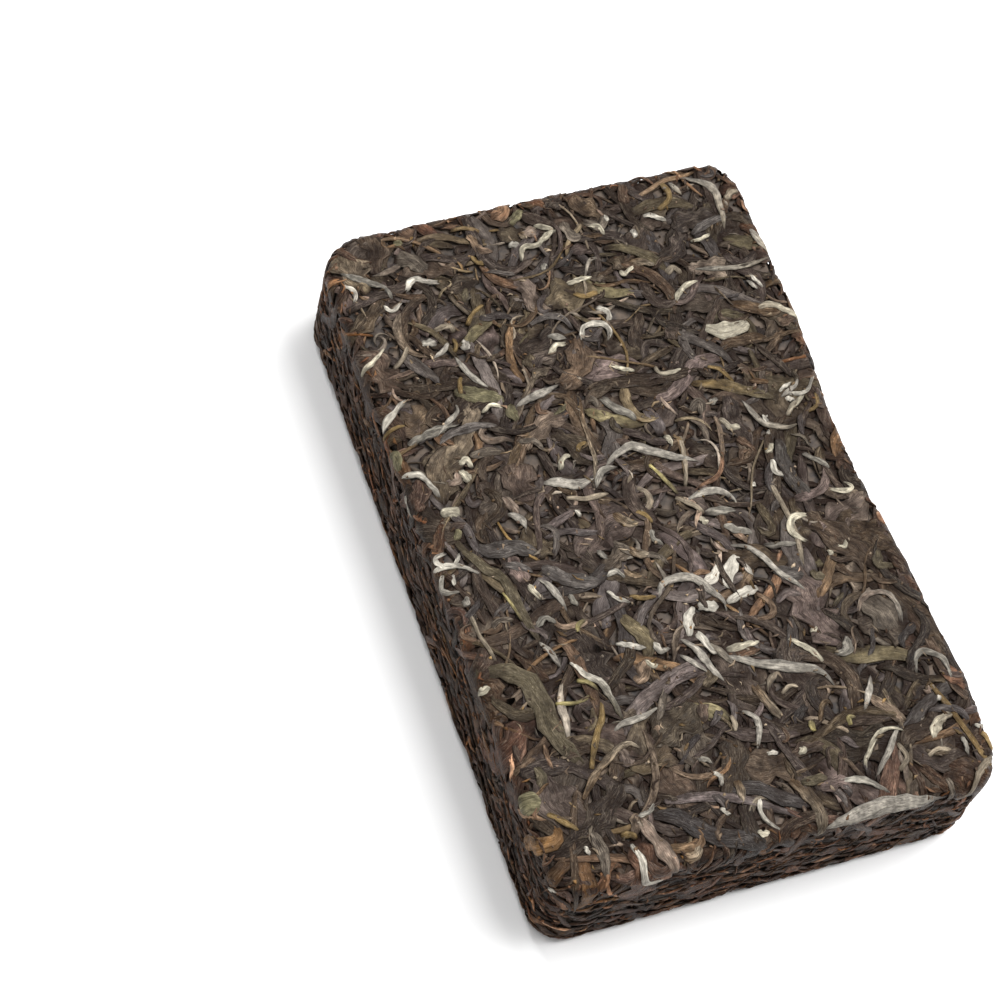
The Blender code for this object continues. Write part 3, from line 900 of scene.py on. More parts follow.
@dataclass(frozen=True)
class LeafFinish:
    """The surface of one kind of dried leaf."""

    name: str
    mottle: float = 0.4
    # How much ridges are paler and low edges darker: partly wear, partly painted highlight and
    # shade
    ridge_wear_and_highlight: float = 0.45
    # The next two: how far leaf lying deep between others, and leaf along its creases, is darkened
    # toward painted shade
    hollow: float = 0.93
    crease_shade: float = 0.78
    vein: float = 0.4
    vein_width: float = 0.03
    vein_tone: Tone = Tone.TAN
    vein_gain: float = 2.6
    edge: float = 0.42
    # How strongly small pale flecks are painted over the leaf as highlights (glints)
    glint: float = 0.6
    roughness: float = 0.42
    sheen: float = 0.0
    sheen_tint: tuple[float, float, float] = (0.8, 0.84, 0.9)
    bump: float = 0.7
    gloss: float = 0.08

    def material(self) -> bpy.types.Material:
        """Make the material: the leaf's tint with pale veins, painted glints, painted shade in
        creases and hollows, and ridges paler by wear and painted highlight.

        Returns:
            The node material.
        """
        material = bpy.data.materials.new(self.name)
        material.use_nodes = True
        nodes = NodeBoard(material.node_tree)
        surface = material.node_tree.nodes["Principled BSDF"]
        leaf_map = nodes.add("ShaderNodeUVMap", uv_map="leaf_map").outputs["UV"]
        tint = nodes.add("ShaderNodeAttribute", attribute_name="tint").outputs["Color"]
        crown = nodes.add("ShaderNodeAttribute", attribute_name="crown").outputs["Fac"]
        depth = nodes.add("ShaderNodeAttribute", attribute_name="depth").outputs["Fac"]
        margin = nodes.add("ShaderNodeAttribute", attribute_name="margin").outputs["Fac"]

        folds = nodes.noise(leaf_map, (0.13, 1.0, 1.0), 1.0, 3.5)
        fibres = nodes.noise(leaf_map, (0.3, 3.6, 1.0), 1.0, 2.5)
        spots = nodes.noise(leaf_map, (1.0, 1.0, 1.0), 0.9, 4.0)
        veins = nodes.larger(nodes.contour(folds, 0.5, self.vein_width),
                             nodes.contour(fibres, 0.53, 1.4 * self.vein_width))
        creases = nodes.larger(nodes.contour(folds, 0.44, 1.3 * self.vein_width),
                               nodes.contour(fibres, 0.45, 1.6 * self.vein_width))

        spot_light = nodes.spread(spots, 0.3, 0.7, 1 - self.mottle, 1 + self.mottle)
        # Ridges paler and low edges darker: partly wear, partly painted highlight and shade
        ridge_wear_and_highlight_gain = nodes.spread(crown, 0.0, 1.0, 1 - self.ridge_wear_and_highlight, 1 + self.ridge_wear_and_highlight)
        streak_light = nodes.spread(folds, 0.35, 0.65, 0.85, 1.2)
        light = nodes.multiply(nodes.multiply(spot_light, ridge_wear_and_highlight_gain), streak_light)
        # Painted shade: darker where the leaf lies deep and along its creases
        shadow = nodes.larger(nodes.spread(depth, 0.12, 0.6, 0.0, self.hollow),
                              nodes.multiply(creases, nodes.number(self.crease_shade)))
        worn = nodes.multiply(nodes.spread(margin, 0.72, 0.96, 0.0, self.edge),
                              nodes.spread(folds, 0.42, 0.58, 0.2, 1.0))
        # Painted glints: small pale flecks that stand in for highlights on the leaf
        glint_pattern = nodes.noise(leaf_map, (1.0, 1.6, 1.0), 2.4, 1.0)
        painted_glints = nodes.spread(glint_pattern, 0.62, 0.7, 0.0, self.glint)
        vein_share = nodes.multiply(veins, nodes.number(self.vein))
        pale = nodes.larger(nodes.larger(vein_share, worn), painted_glints)
        brighter_tint = nodes.scale_colour(tint, nodes.number(self.vein_gain))
        vein_colour = nodes.mix_colour(nodes.number(0.5), brighter_tint,
                                       self.vein_tone.linear() * VEIN_SHADE)
        bare = nodes.blend_colour(pale, tint, vein_colour)
        # The tint with its mottling and streaks, and with ridges paler by wear and painted
        # highlight
        worn_and_highlighted_leaf = nodes.scale_colour(bare, light)
        # Blend toward the painted shade colour
        shaded_leaf = nodes.mix_colour(shadow, worn_and_highlighted_leaf, Tone.PAINTED_SHADE.linear())
        nodes.link(shaded_leaf, surface.inputs["Base Color"])

        rough = nodes.spread(spots, 0.3, 0.7, self.roughness - 0.1, self.roughness + 0.12)
        nodes.link(rough, surface.inputs["Roughness"])
        relief = nodes.add_values(nodes.multiply(veins, nodes.number(0.5)),
                                  nodes.multiply(creases, nodes.number(-0.6)))
        bump = nodes.add("ShaderNodeBump")
        bump.inputs["Strength"].default_value = self.bump
        bump.inputs["Distance"].default_value = 0.12 * MM
        nodes.link(relief, bump.inputs["Height"])
        nodes.link(bump.outputs["Normal"], surface.inputs["Normal"])
        surface.inputs["Sheen Weight"].default_value = self.sheen
        surface.inputs["Sheen Roughness"].default_value = 0.4
        surface.inputs["Sheen Tint"].default_value = (*self.sheen_tint, 1.0)
        surface.inputs["Specular IOR Level"].default_value = self.gloss
        return material


class NodeBoard:
    """Short calls that add and join the nodes of one material."""

    def __init__(self, tree: bpy.types.NodeTree) -> None:
        """Work on one node tree."""
        self.tree = tree

    def add(self, kind: str, **settings) -> bpy.types.Node:
        """Add one node and set its named settings.

        Args:
            kind: The node's type.
            **settings: The settings.

        Returns:
            The node.
        """
        node = self.tree.nodes.new(kind)
        for name, value in settings.items():
            setattr(node, name, value)
        return node

    def link(self, source: Socket, target: Socket) -> None:
        """Join two sockets."""
        self.tree.links.new(source, target)

    def number(self, value: float) -> Socket:
        """A fixed number.

        Args:
            value: The number.

        Returns:
            Its socket.
        """
        node = self.add("ShaderNodeValue")
        node.outputs[0].default_value = value
        return node.outputs[0]

    def noise(self, place: Socket, stretch: tuple[float, float, float],
              scale: float, detail: float) -> Socket:
        """A noise pattern over stretched places.

        Args:
            place: The places.
            stretch: Scale of the pattern along each axis.
            scale: Size factor of the pattern.
            detail: Octaves of finer pattern.

        Returns:
            The pattern's value, about 0.3 to 0.7.
        """
        mapping = self.add("ShaderNodeMapping")
        mapping.inputs["Scale"].default_value = stretch
        self.link(place, mapping.inputs["Vector"])
        texture = self.add("ShaderNodeTexNoise")
        texture.inputs["Scale"].default_value = scale
        texture.inputs["Detail"].default_value = detail
        self.link(mapping.outputs["Vector"], texture.inputs["Vector"])
        return texture.outputs["Fac"]

    def spread(self, value: Socket, low: float, high: float,
               to_low: float, to_high: float) -> Socket:
        """A value mapped from one range to another, and held inside it.

        Args:
            value: The value.
            low: Start of its range.
            high: End of its range.
            to_low: What the start becomes.
            to_high: What the end becomes.

        Returns:
            The mapped value.
        """
        node = self.add("ShaderNodeMapRange", clamp=True)
        limits = {"From Min": low, "From Max": high, "To Min": to_low, "To Max": to_high}
        for name, number in limits.items():
            node.inputs[name].default_value = number
        self.link(value, node.inputs["Value"])
        return node.outputs["Result"]

    def maths(self, operation: str, first: Socket,
              second: Socket) -> Socket:
        """Two values joined by one operation.

        Args:
            operation: The operation's name, such as ADD.
            first: The first value.
            second: The second value.

        Returns:
            The result.
        """
        node = self.add("ShaderNodeMath", operation=operation)
        self.link(first, node.inputs[0])
        self.link(second, node.inputs[1])
        return node.outputs[0]

    def multiply(self, first: Socket, second: Socket) -> Socket:
        """The product of two values."""
        return self.maths("MULTIPLY", first, second)

    def add_values(self, first: Socket, second: Socket) -> Socket:
        """The sum of two values."""
        return self.maths("ADD", first, second)

    def larger(self, first: Socket, second: Socket) -> Socket:
        """The larger of two values."""
        return self.maths("MAXIMUM", first, second)

    def contour(self, value: Socket, level: float, width: float) -> Socket:
        """One along the line where a pattern passes a level, and falling to zero beside it.

        Args:
            value: The pattern.
            level: The level.
            width: How far from the level the result is zero.

        Returns:
            The line's value.
        """
        away = self.maths("SUBTRACT", value, self.number(level))
        node = self.add("ShaderNodeMath", operation="ABSOLUTE")
        self.link(away, node.inputs[0])
        return self.spread(node.outputs[0], 0.0, width, 1.0, 0.0)

    def mix_colour(self, share: Socket, colour: Socket,
                   other: Array) -> Socket:
        """A colour blended by a share toward another, fixed one.

        Args:
            share: The share of the fixed colour.
            colour: The colour to start from.
            other: The fixed colour, in linear light.

        Returns:
            The blended colour.
        """
        node = self.add("ShaderNodeMix", data_type="RGBA")
        self.link(share, node.inputs["Factor"])
        self.link(colour, node.inputs["A"])
        node.inputs["B"].default_value = (*other, 1.0)
        return node.outputs["Result"]

    def blend_colour(self, share: Socket, colour: Socket,
                     goal: Socket) -> Socket:
        """One colour mixed by a share with another.

        Args:
            share: The share of the second colour.
            colour: The first colour.
            goal: The second colour.

        Returns:
            The mixed colour.
        """
        mix = self.add("ShaderNodeMix", data_type="RGBA", clamp_factor=True)
        for source, number in ((share, 0), (colour, 6), (goal, 7)):
            self.link(source, mix.inputs[number])
        return mix.outputs[2]

    def scale_colour(self, colour: Socket, factor: Socket) -> Socket:
        """A colour made lighter or darker.

        Args:
            colour: The colour.
            factor: How much lighter.

        Returns:
            The scaled colour.
        """
        node = self.add("ShaderNodeVectorMath", operation="SCALE")
        self.link(colour, node.inputs[0])
        self.link(factor, node.inputs["Scale"])
        return node.outputs["Vector"]


@dataclass(frozen=True)
class Growth:
    """A rule for one kind of leaf: its pattern, size, colours and how it grows curved."""

    kind: Kind
    patterns: tuple[str, ...]
    length: tuple[float, float]
    width: tuple[float, float]
    thickness: tuple[float, float]
    tones: tuple[Tone, ...]
    share: float
    bend: float = 0.5
    hook: float = 0.1
    ragged: float = 0.12
    fold: float = 0.55
    wrinkle: float = 0.15
    roll: float = 0.25
    lightness: float = 0.42


PATTERNS = {
    "strip": LeafPattern(),
    "torn_strip": LeafPattern(start_width=0.6, end_width=0.25, fullest=0.3),
    "flake": LeafPattern(rings=10, start_width=0.45, end_width=0.4, fullest=0.5, fullness=0.9,
                         plateau=0.35),
    "sheet": LeafPattern(sides=12, rings=13, start_width=0.55, end_width=0.35, fullest=0.4,
                         fullness=0.8, plateau=0.25),
    "bud": LeafPattern(start_width=0.3, end_width=0.12, fullest=0.45, fullness=1.0, plateau=0.8,
                       point=0.04),
    "stem": LeafPattern(sides=6, rings=10, start_width=0.85, end_width=0.7, fullest=0.5,
                        fullness=0.5, plateau=1.0, belly=0.6, point=0.01),
    "shred": LeafPattern(sides=6, rings=6, start_width=0.5, end_width=0.35),
    "scrap": LeafPattern(sides=7, rings=6, start_width=0.5, end_width=0.4, fullest=0.5,
                         fullness=0.9, plateau=0.35),
    "crumb": LeafPattern(sides=5, rings=3, start_width=0.6, end_width=0.4, fullest=0.5),
    "shown_strip": LeafPattern(sides=12, rings=22, start_width=0.5, end_width=0.3),
    "shown_bud": LeafPattern(sides=12, rings=22, start_width=0.25, end_width=0.12, fullest=0.45,
                             fullness=1.0, plateau=0.7, point=0.03),
    "shown_flake": LeafPattern(sides=12, rings=16, start_width=0.45, end_width=0.35, fullest=0.5,
                               fullness=0.9, plateau=0.35),
    "shown_stem": LeafPattern(sides=8, rings=18, start_width=0.85, end_width=0.6, fullest=0.5,
                              fullness=0.5, plateau=1.0, belly=0.6, point=0.01),
}

GROWTHS = (
    Growth(Kind.DARK, ("strip", "torn_strip"), (7.0, 20.0), (0.9, 2.8), (0.3, 0.6),
           (Tone.DARK, Tone.VIOLET, Tone.BLACK, Tone.UMBER, Tone.VIOLET), 0.28, bend=0.65,
           hook=0.12, lightness=0.65),
    Growth(Kind.SLATE, ("strip", "torn_strip"), (7.0, 18.0), (1.2, 3.0), (0.3, 0.55),
           (Tone.SLATE, Tone.VIOLET, Tone.BLUE_GREY), 0.1, bend=0.55),
    Growth(Kind.BROWN, ("strip", "torn_strip"), (6.0, 17.0), (0.8, 2.4), (0.3, 0.6),
           (Tone.BROWN, Tone.GREY_BROWN, Tone.UMBER, Tone.UMBER, Tone.OLIVE, Tone.RUST), 0.22,
           bend=0.7, hook=0.16, lightness=0.65),
    Growth(Kind.FLAKE, ("sheet", "flake"), (6.0, 14.0), (3.2, 6.6), (0.25, 0.42),
           (Tone.UMBER, Tone.VIOLET, Tone.DARK, Tone.OLIVE, Tone.GREY_BROWN, Tone.VIOLET), 0.22,
           bend=0.35, hook=0.0, ragged=0.3, fold=0.5, wrinkle=0.4, lightness=0.65),
    Growth(Kind.OLIVE, ("strip", "flake"), (6.0, 14.0), (1.2, 3.0), (0.3, 0.5),
           (Tone.OLIVE, Tone.OLIVE, Tone.UMBER, Tone.GREEN), 0.06),
    Growth(Kind.STEM, ("stem",), (5.0, 17.0), (0.45, 1.0), (0.4, 0.7),
           (Tone.GOLD, Tone.TAN, Tone.BROWN, Tone.OLIVE, Tone.GREY_BROWN), 0.08, bend=0.35,
           hook=0.05, fold=0.2),
    Growth(Kind.SILVER, ("bud",), (4.0, 10.0), (0.6, 1.4), (0.4, 0.7),
           (Tone.GREY, Tone.SILVER, Tone.GREY_BROWN, Tone.TAN, Tone.PINK), 0.08, bend=0.7,
           hook=0.25, fold=0.3),
)


class Tea:
    """All the leaves of the brick, from the bottom of the pile up to the pieces that stand out.

    Each of TOP_PATCHES is a paler or darker part of the top: where its middle lies across and
    along, its reach, and how much lighter it is.
    """

    TOP_PATCHES = (
        (2, -20, 14, 0.42), (8, 15, 8, 0.28), (-22, 30, 9, 0.36), (-8, 58, 8, 0.16),
        (30, 11, 7, -0.34), (-36, 10, 6, -0.3), (-12, 39, 7, -0.26), (30, -33, 7, -0.36),
        (20, 62, 9, -0.26), (-34, -54, 10, -0.24), (0, -60, 12, -0.14),
    )
    RIGHT_LOSS = 0.3
    RIGHT_START = 31
    RIGHT_BLEND = 3
    CLUMP_GAIN = 0.28
    CLUMP_WIDTH = 3.4
    CLUMP_LENGTH = 4.3
    CLUMP_START = 1.0
    RIM_BAND = 3.5
    DARKEST = -1.2
    LIGHTEST = 0.9
    EVEN_STEP = np.array([0.7548776662, 0.5698402910])
    SIDE_FLATNESS = 0.6
    SIDE_WIDTH = 0.85
    CRUMB_TONES = (Tone.DARK, Tone.BROWN, Tone.GREY_BROWN, Tone.GOLD, Tone.RUST, Tone.TAN,
                   Tone.PINK, Tone.GREY, Tone.TAN)
    RIM_REACH = 2.4
    RIM_SIZE = 0.45
    CROSSING_SIZE = 0.5
    CROSSING_KINDS = 4

    def __init__(self, form: BrickForm) -> None:
        """Model the leaf patterns and start an empty pile.

        Args:
            form: The brick's form.
        """
        self.form = form
        self.draw = np.random.default_rng(SEED)
        self.layer = Layer(form, self.draw)
        self.templates = {name: pattern.model() for name, pattern in PATTERNS.items()}

    def shade_at(self, middle: Array, face: Face) -> Array:
        """How light the brick is where a leaf lies, as some parts of the top are paler.

        Args:
            middle: Where the leaf's middle lies on the face.
            face: The face; the sides have one even shade.

        Returns:
            A factor for red, green and blue.
        """
        if face is Face.SIDE:
            return GROUND_SHADE * SIDE_SHADE
        x, y = middle
        gain = sum(patch[3] * math.exp(-((x - patch[0]) ** 2 + (y - patch[1]) ** 2)
                                       / (2 * patch[2] ** 2)) for patch in self.TOP_PATCHES)
        gain -= self.RIGHT_LOSS / (1 + math.exp((self.RIGHT_START - x) / self.RIGHT_BLEND))
        clump = self.CLUMP_GAIN * math.sin(x / self.CLUMP_WIDTH + self.CLUMP_START)
        gain += clump * math.sin(y / self.CLUMP_LENGTH)
        beyond = np.max(np.abs(middle) - self.form.half + self.RIM_BAND) / self.RIM_BAND
        return GROUND_SHADE * math.exp(gain) * SIDE_SHADE ** float(np.clip(beyond, 0.0, 1.0))

    def colour(self, tones: tuple[Tone, ...], lightness: float, face: Face,
               middle: Array) -> tuple[Array, Array]:
        """Colours of a leaf's two ends, drawn from a kind's tones.

        Args:
            tones: The tones to draw from.
            lightness: How much leaves differ in lightness.
            face: The face, as the sides are darker and warmer.
            middle: Where the leaf's middle lies on the face.

        Returns:
            The start's and the end's colour, in linear light.
        """
        first, second, third = (tones[self.draw.integers(len(tones))].linear() for _ in range(3))
        mix = self.draw.uniform(0.0, 0.5)
        brighter = float(np.clip(self.draw.normal(0.0, lightness), self.DARKEST, self.LIGHTEST))
        light = self.shade_at(middle, face) * math.exp(brighter)
        base = first * (1 - mix) + second * mix
        return base * light, (base * 0.65 + third * 0.35) * light

    def grow(self, middle: Array, length: float, heading: float, bend: float,
             hooked: bool) -> Array:
        """A curved path of a leaf around its middle.

        Args:
            middle: Where the leaf's middle lies on its face.
            length: The leaf's length.
            heading: Its direction, in radians.
            bend: How much its direction wanders.
            hooked: Whether one end curls over.

        Returns:
            The path's points, one row each.
        """
        steps = np.linspace(-0.5, 0.5, 9)
        turn = heading + self.draw.normal(0.0, bend) * 2 * steps
        sway = self.draw.normal(0.0, 0.5 * bend)
        turn += sway * np.sin(2 * math.pi * steps + self.draw.uniform(0, 6))
        if hooked:
            curl = self.draw.choice([-1.0, 1.0]) * self.draw.uniform(1.6, 3.0)
            turn += curl * np.clip(steps * 2, 0, 1) ** 1.5
        step = length / (len(steps) - 1)
        path = np.cumsum(np.column_stack([np.cos(turn), np.sin(turn)]) * step, axis=0)
        return path - path[len(steps) // 2] + middle

    def lay_grown(self, growth: Growth, face: Face, middle: Array, heading: float,
                  size: float, flat: float = 1.0) -> None:
        """Lay one leaf drawn from a growth rule.

        Args:
            growth: The rule.
            face: The face on which the leaf lies.
            middle: Where its middle lies on the face.
            heading: Its direction, in radians.
            size: How large it is, as a share of the rule's sizes.
            flat: Below 1, the leaf lies straighter, narrower and without a hook.
        """
        length = self.draw.uniform(*growth.length) * size
        width = self.draw.uniform(*growth.width) * size ** 0.7
        hooked = self.draw.random() < growth.hook
        bend = growth.bend * flat
        pattern = growth.patterns[self.draw.integers(len(growth.patterns))]
        if face is not Face.TOP:
            pattern = "scrap" if pattern in ("flake", "sheet") else "shred"
        start, end = self.colour(growth.tones, growth.lightness, face, middle)
        self.layer.lay(Leaf(
            growth.kind, self.templates[pattern], face,
            self.grow(middle, length, heading, bend, hooked and flat == 1.0),
            width * (1.0 if flat == 1.0 else self.SIDE_WIDTH),
            self.draw.uniform(*growth.thickness), start, end,
            growth.ragged, growth.fold, growth.wrinkle, growth.roll,
        ))

    @staticmethod
    def even_place(number: int) -> Array:
        """The numbered place of a sequence that fills the unit square evenly."""
        return np.mod(0.5 + number * Tea.EVEN_STEP, 1.0)

    def pick_growth(self) -> Growth:
        """Draw a growth rule by its share of the leaves."""
        shares = np.array([growth.share for growth in GROWTHS])
        return GROWTHS[self.draw.choice(len(GROWTHS), p=shares / shares.sum())]

    def size_at(self, middle: Array) -> float:
        """How large leaves are: finer in the far left part of the brick, longer in the near part.

        Args:
            middle: Where the leaf's middle lies on the top or the underside.

        Returns:
            A share of the growth rule's sizes.
        """
        far = 0.5 + 0.5 * middle[1] / self.form.half[1]
        left = 0.5 - 0.5 * middle[0] / self.form.half[0]
        return 1.12 - 0.22 * far - 0.14 * far * left

    def spread_flat(self, face: Face, count: int, overhang: float, size: float = 1.0) -> None:
        """Lay leaves evenly over the top or the underside, some of them over the rim.

        Args:
            face: The top or the underside.
            count: How many leaves.
            overhang: How far past the outline a leaf's middle may lie.
            size: How large the leaves are.
        """
        reach = self.form.half + overhang
        for number in range(count):
            middle = (2 * self.even_place(number) - 1) * reach
            growth = self.pick_growth()
            self.lay_grown(growth, face, middle, self.draw.uniform(0.0, 2 * math.pi),
                           size * self.size_at(middle))

    def spread_side(self, count: int) -> None:
        """Lay leaves in flat layers around the four sides.

        Args:
            count: How many leaves.
        """
        for number in range(count):
            share = self.even_place(number)
            middle = share * np.array([self.form.around, self.form.full_travel])
            wander = self.draw.normal(0.0, self.draw.choice([0.25, 0.7]))
            heading = wander + math.pi * self.draw.integers(2)
            size = self.draw.uniform(0.25, 0.65)
            self.lay_grown(self.pick_growth(), Face.SIDE, middle, heading, size, self.SIDE_FLATNESS)

    def close_rim(self, count: int) -> None:
        """Lay short leaves around the bottom end of the sides, next to the underside.

        Args:
            count: How many leaves.
        """
        for number in range(count):
            around = (number + self.draw.random()) / count * self.form.around
            travel = self.form.full_travel - self.draw.uniform(0.0, self.RIM_REACH)
            heading = self.draw.normal(0.0, 0.3)
            self.lay_grown(self.pick_growth(), Face.SIDE, np.array([around, travel]), heading,
                           self.RIM_SIZE, self.SIDE_FLATNESS)

    def scatter_crumbs(self, face: Face, count: int) -> None:
        """Strew small broken bits over one face.

        Args:
            face: The face.
            count: How many bits.
        """
        for _ in range(count):
            if face is Face.SIDE:
                middle = self.draw.random(2) * np.array([self.form.around, self.form.full_travel])
            else:
                middle = (2 * self.draw.random(2) - 1) * self.form.half
            start, end = self.colour(self.CRUMB_TONES, 0.5, face, middle)
            length = 0.6 + 2.2 * self.draw.random() ** 2
            path = self.grow(middle, length, self.draw.uniform(0.0, 6.3), 0.6, False)
            self.layer.lay(Leaf(
                Kind.CRUMB, self.templates["crumb"], face, path, self.draw.uniform(0.25, 0.8),
                self.draw.uniform(0.15, 0.35), start, end, ragged=0.3,
            ))

    def fill(self) -> None:
        """Lay every leaf in the order in which it lies in the brick."""
        self.spread_flat(Face.UNDER, count=950, overhang=2.0)
        self.scatter_crumbs(Face.UNDER, count=400)
        self.spread_side(count=2500)
        self.close_rim(count=340)
        self.scatter_crumbs(Face.SIDE, count=1000)
        self.spread_flat(Face.TOP, count=1150, overhang=2.5, size=0.78)
        self.scatter_crumbs(Face.TOP, count=900)
        self.spread_flat(Face.TOP, count=450, overhang=2.0, size=1.35)
        self.cross_over(count=150)
        self.lay_shown()
        self.scatter_crumbs(Face.TOP, count=900)

    def cross_over(self, count: int) -> None:
        """Lay short leaves of the first few kinds across the long ones.

        Args:
            count: How many leaves.
        """
        for _ in range(count):
            middle = (2 * self.draw.random(2) - 1) * self.form.half
            growth = GROWTHS[self.draw.integers(self.CROSSING_KINDS)]
            heading = self.draw.uniform(0.0, 2 * math.pi)
            self.lay_grown(growth, Face.TOP, middle, heading, self.CROSSING_SIZE)

    def lay_shown(self) -> None:
        """Lay the pieces that stand out on the top, each where it lies on the real brick."""
        for group in SHOWN_PIECES:
            for leaf in group.leaves(self.templates, self.draw):
                self.layer.lay(leaf)

    def finish(self) -> list[bpy.types.Object]:
        """Press the pile and make one object for each kind of leaf.

        Returns:
            The objects.
        """
        self.layer.pile.find_level(Layer.PRESS_REACH)
        items = []
        for kind in Kind:
            item = self.layer.finish(kind)
            if item:
                item.data.materials.append(FINISHES[kind].material())
                items.append(item)
        return items


FINISHES = {
    Kind.DARK: LeafFinish("dark_leaf"),
    Kind.SLATE: LeafFinish("slate_leaf", roughness=0.4, gloss=0.14, vein_tone=Tone.GREY, vein=0.35),
    Kind.BROWN: LeafFinish("brown_leaf"),
    Kind.FLAKE: LeafFinish("broad_leaf", mottle=0.5, edge=0.5, vein=0.35),
    Kind.OLIVE: LeafFinish("olive_leaf", vein=0.35, crease_shade=0.5),
    Kind.STEM: LeafFinish("golden_stem", vein=0.3, crease_shade=0.45, mottle=0.3),
    Kind.SILVER: LeafFinish("silver_down", vein=0.3, vein_tone=Tone.CREAM, vein_gain=1.3, edge=0.1,
                            crease_shade=0.5, mottle=0.45, glint=0.2, roughness=0.7, sheen=0.06,
                            gloss=0.12),
    Kind.PALE: LeafFinish("pale_chip", vein=0.2, vein_tone=Tone.WHITE, vein_gain=1.2, edge=0.1,
                          crease_shade=0.5, mottle=0.3, ridge_wear_and_highlight=0.2, hollow=0.5, roughness=0.6),
    Kind.CRUMB: LeafFinish("leaf_crumb", vein=0.2, glint=0.2, crease_shade=0.3, mottle=0.3,
                           roughness=0.6),
}


class Make(Enum):
    """How a piece that stands out is made: its pattern, kind, thickness, ragged edge and folds."""

    BUD = ("shown_bud", Kind.SILVER, 0.8, 0.12, 0.3)
    STRIP = ("shown_strip", Kind.SILVER, 0.6, 0.22, 0.45)
    LEAF = ("shown_strip", Kind.BROWN, 0.6, 0.15, 0.55)
    FLAKE = ("shown_flake", Kind.OLIVE, 0.45, 0.16, 0.4)
    STEM = ("shown_stem", Kind.STEM, 0.75, 0.12, 0.3)
    CHIP = ("shown_flake", Kind.PALE, 0.5, 0.2, 0.25)
    SLATE = ("shown_flake", Kind.SLATE, 0.5, 0.12, 0.5)
    DARK = ("shown_strip", Kind.DARK, 0.5, 0.12, 0.5)


@dataclass(frozen=True)
class Group:
    """Pieces that stand out on the real brick's top, all made one way and of one colour.

    Each row is a piece's width, then the places across and along of the points of its path.
    """

    make: Make
    tones: tuple[Tone, ...]
    rows: tuple[tuple[float, ...], ...]

    LIGHT_SPREAD: ClassVar[float] = 0.14
    BEND: ClassVar[float] = 0.2
    WIDTH_SHARE: ClassVar[float] = 0.4
    THINNEST: ClassVar[float] = 0.2
    ROLL: ClassVar[float] = 0.12
    DRAPE: ClassVar[float] = 0.4

    def leaves(self, templates: dict[str, Template], draw: np.random.Generator) -> list[Leaf]:
        """The leaves to lay.

        Args:
            templates: The modelled leaves by name.
            draw: The source of random numbers.

        Returns:
            One leaf for each row, with its path over the top.
        """
        pattern, kind, thickness, ragged, fold = self.make.value
        leaves = []
        for width, *numbers in self.rows:
            path = np.reshape(numbers, (-1, 2))
            light = SHOWN_SHADE * math.exp(draw.normal(0.0, self.LIGHT_SPREAD))
            if len(path) == 2:
                path = self.bent(path, draw)
            leaves.append(Leaf(
                kind, templates[pattern], Face.TOP, path - CAMERA_SHIFT, width,
                min(thickness, self.WIDTH_SHARE * width + self.THINNEST),
                self.tones[0].linear() * light, self.tones[-1].linear() * light,
                ragged, fold, roll=self.ROLL, drape=self.DRAPE,
            ))
        return leaves

    @classmethod
    def bent(cls, path: Array, draw: np.random.Generator) -> Array:
        """A straight path of two points with a third one between them, a little to one side.

        Args:
            path: The two points, one row each.
            draw: The source of random numbers.

        Returns:
            The three points, one row each.
        """
        start, end = path
        across = np.array([start[1] - end[1], end[0] - start[0]])
        return np.array([start, (start + end) / 2 + across * draw.normal(0.0, cls.BEND), end])


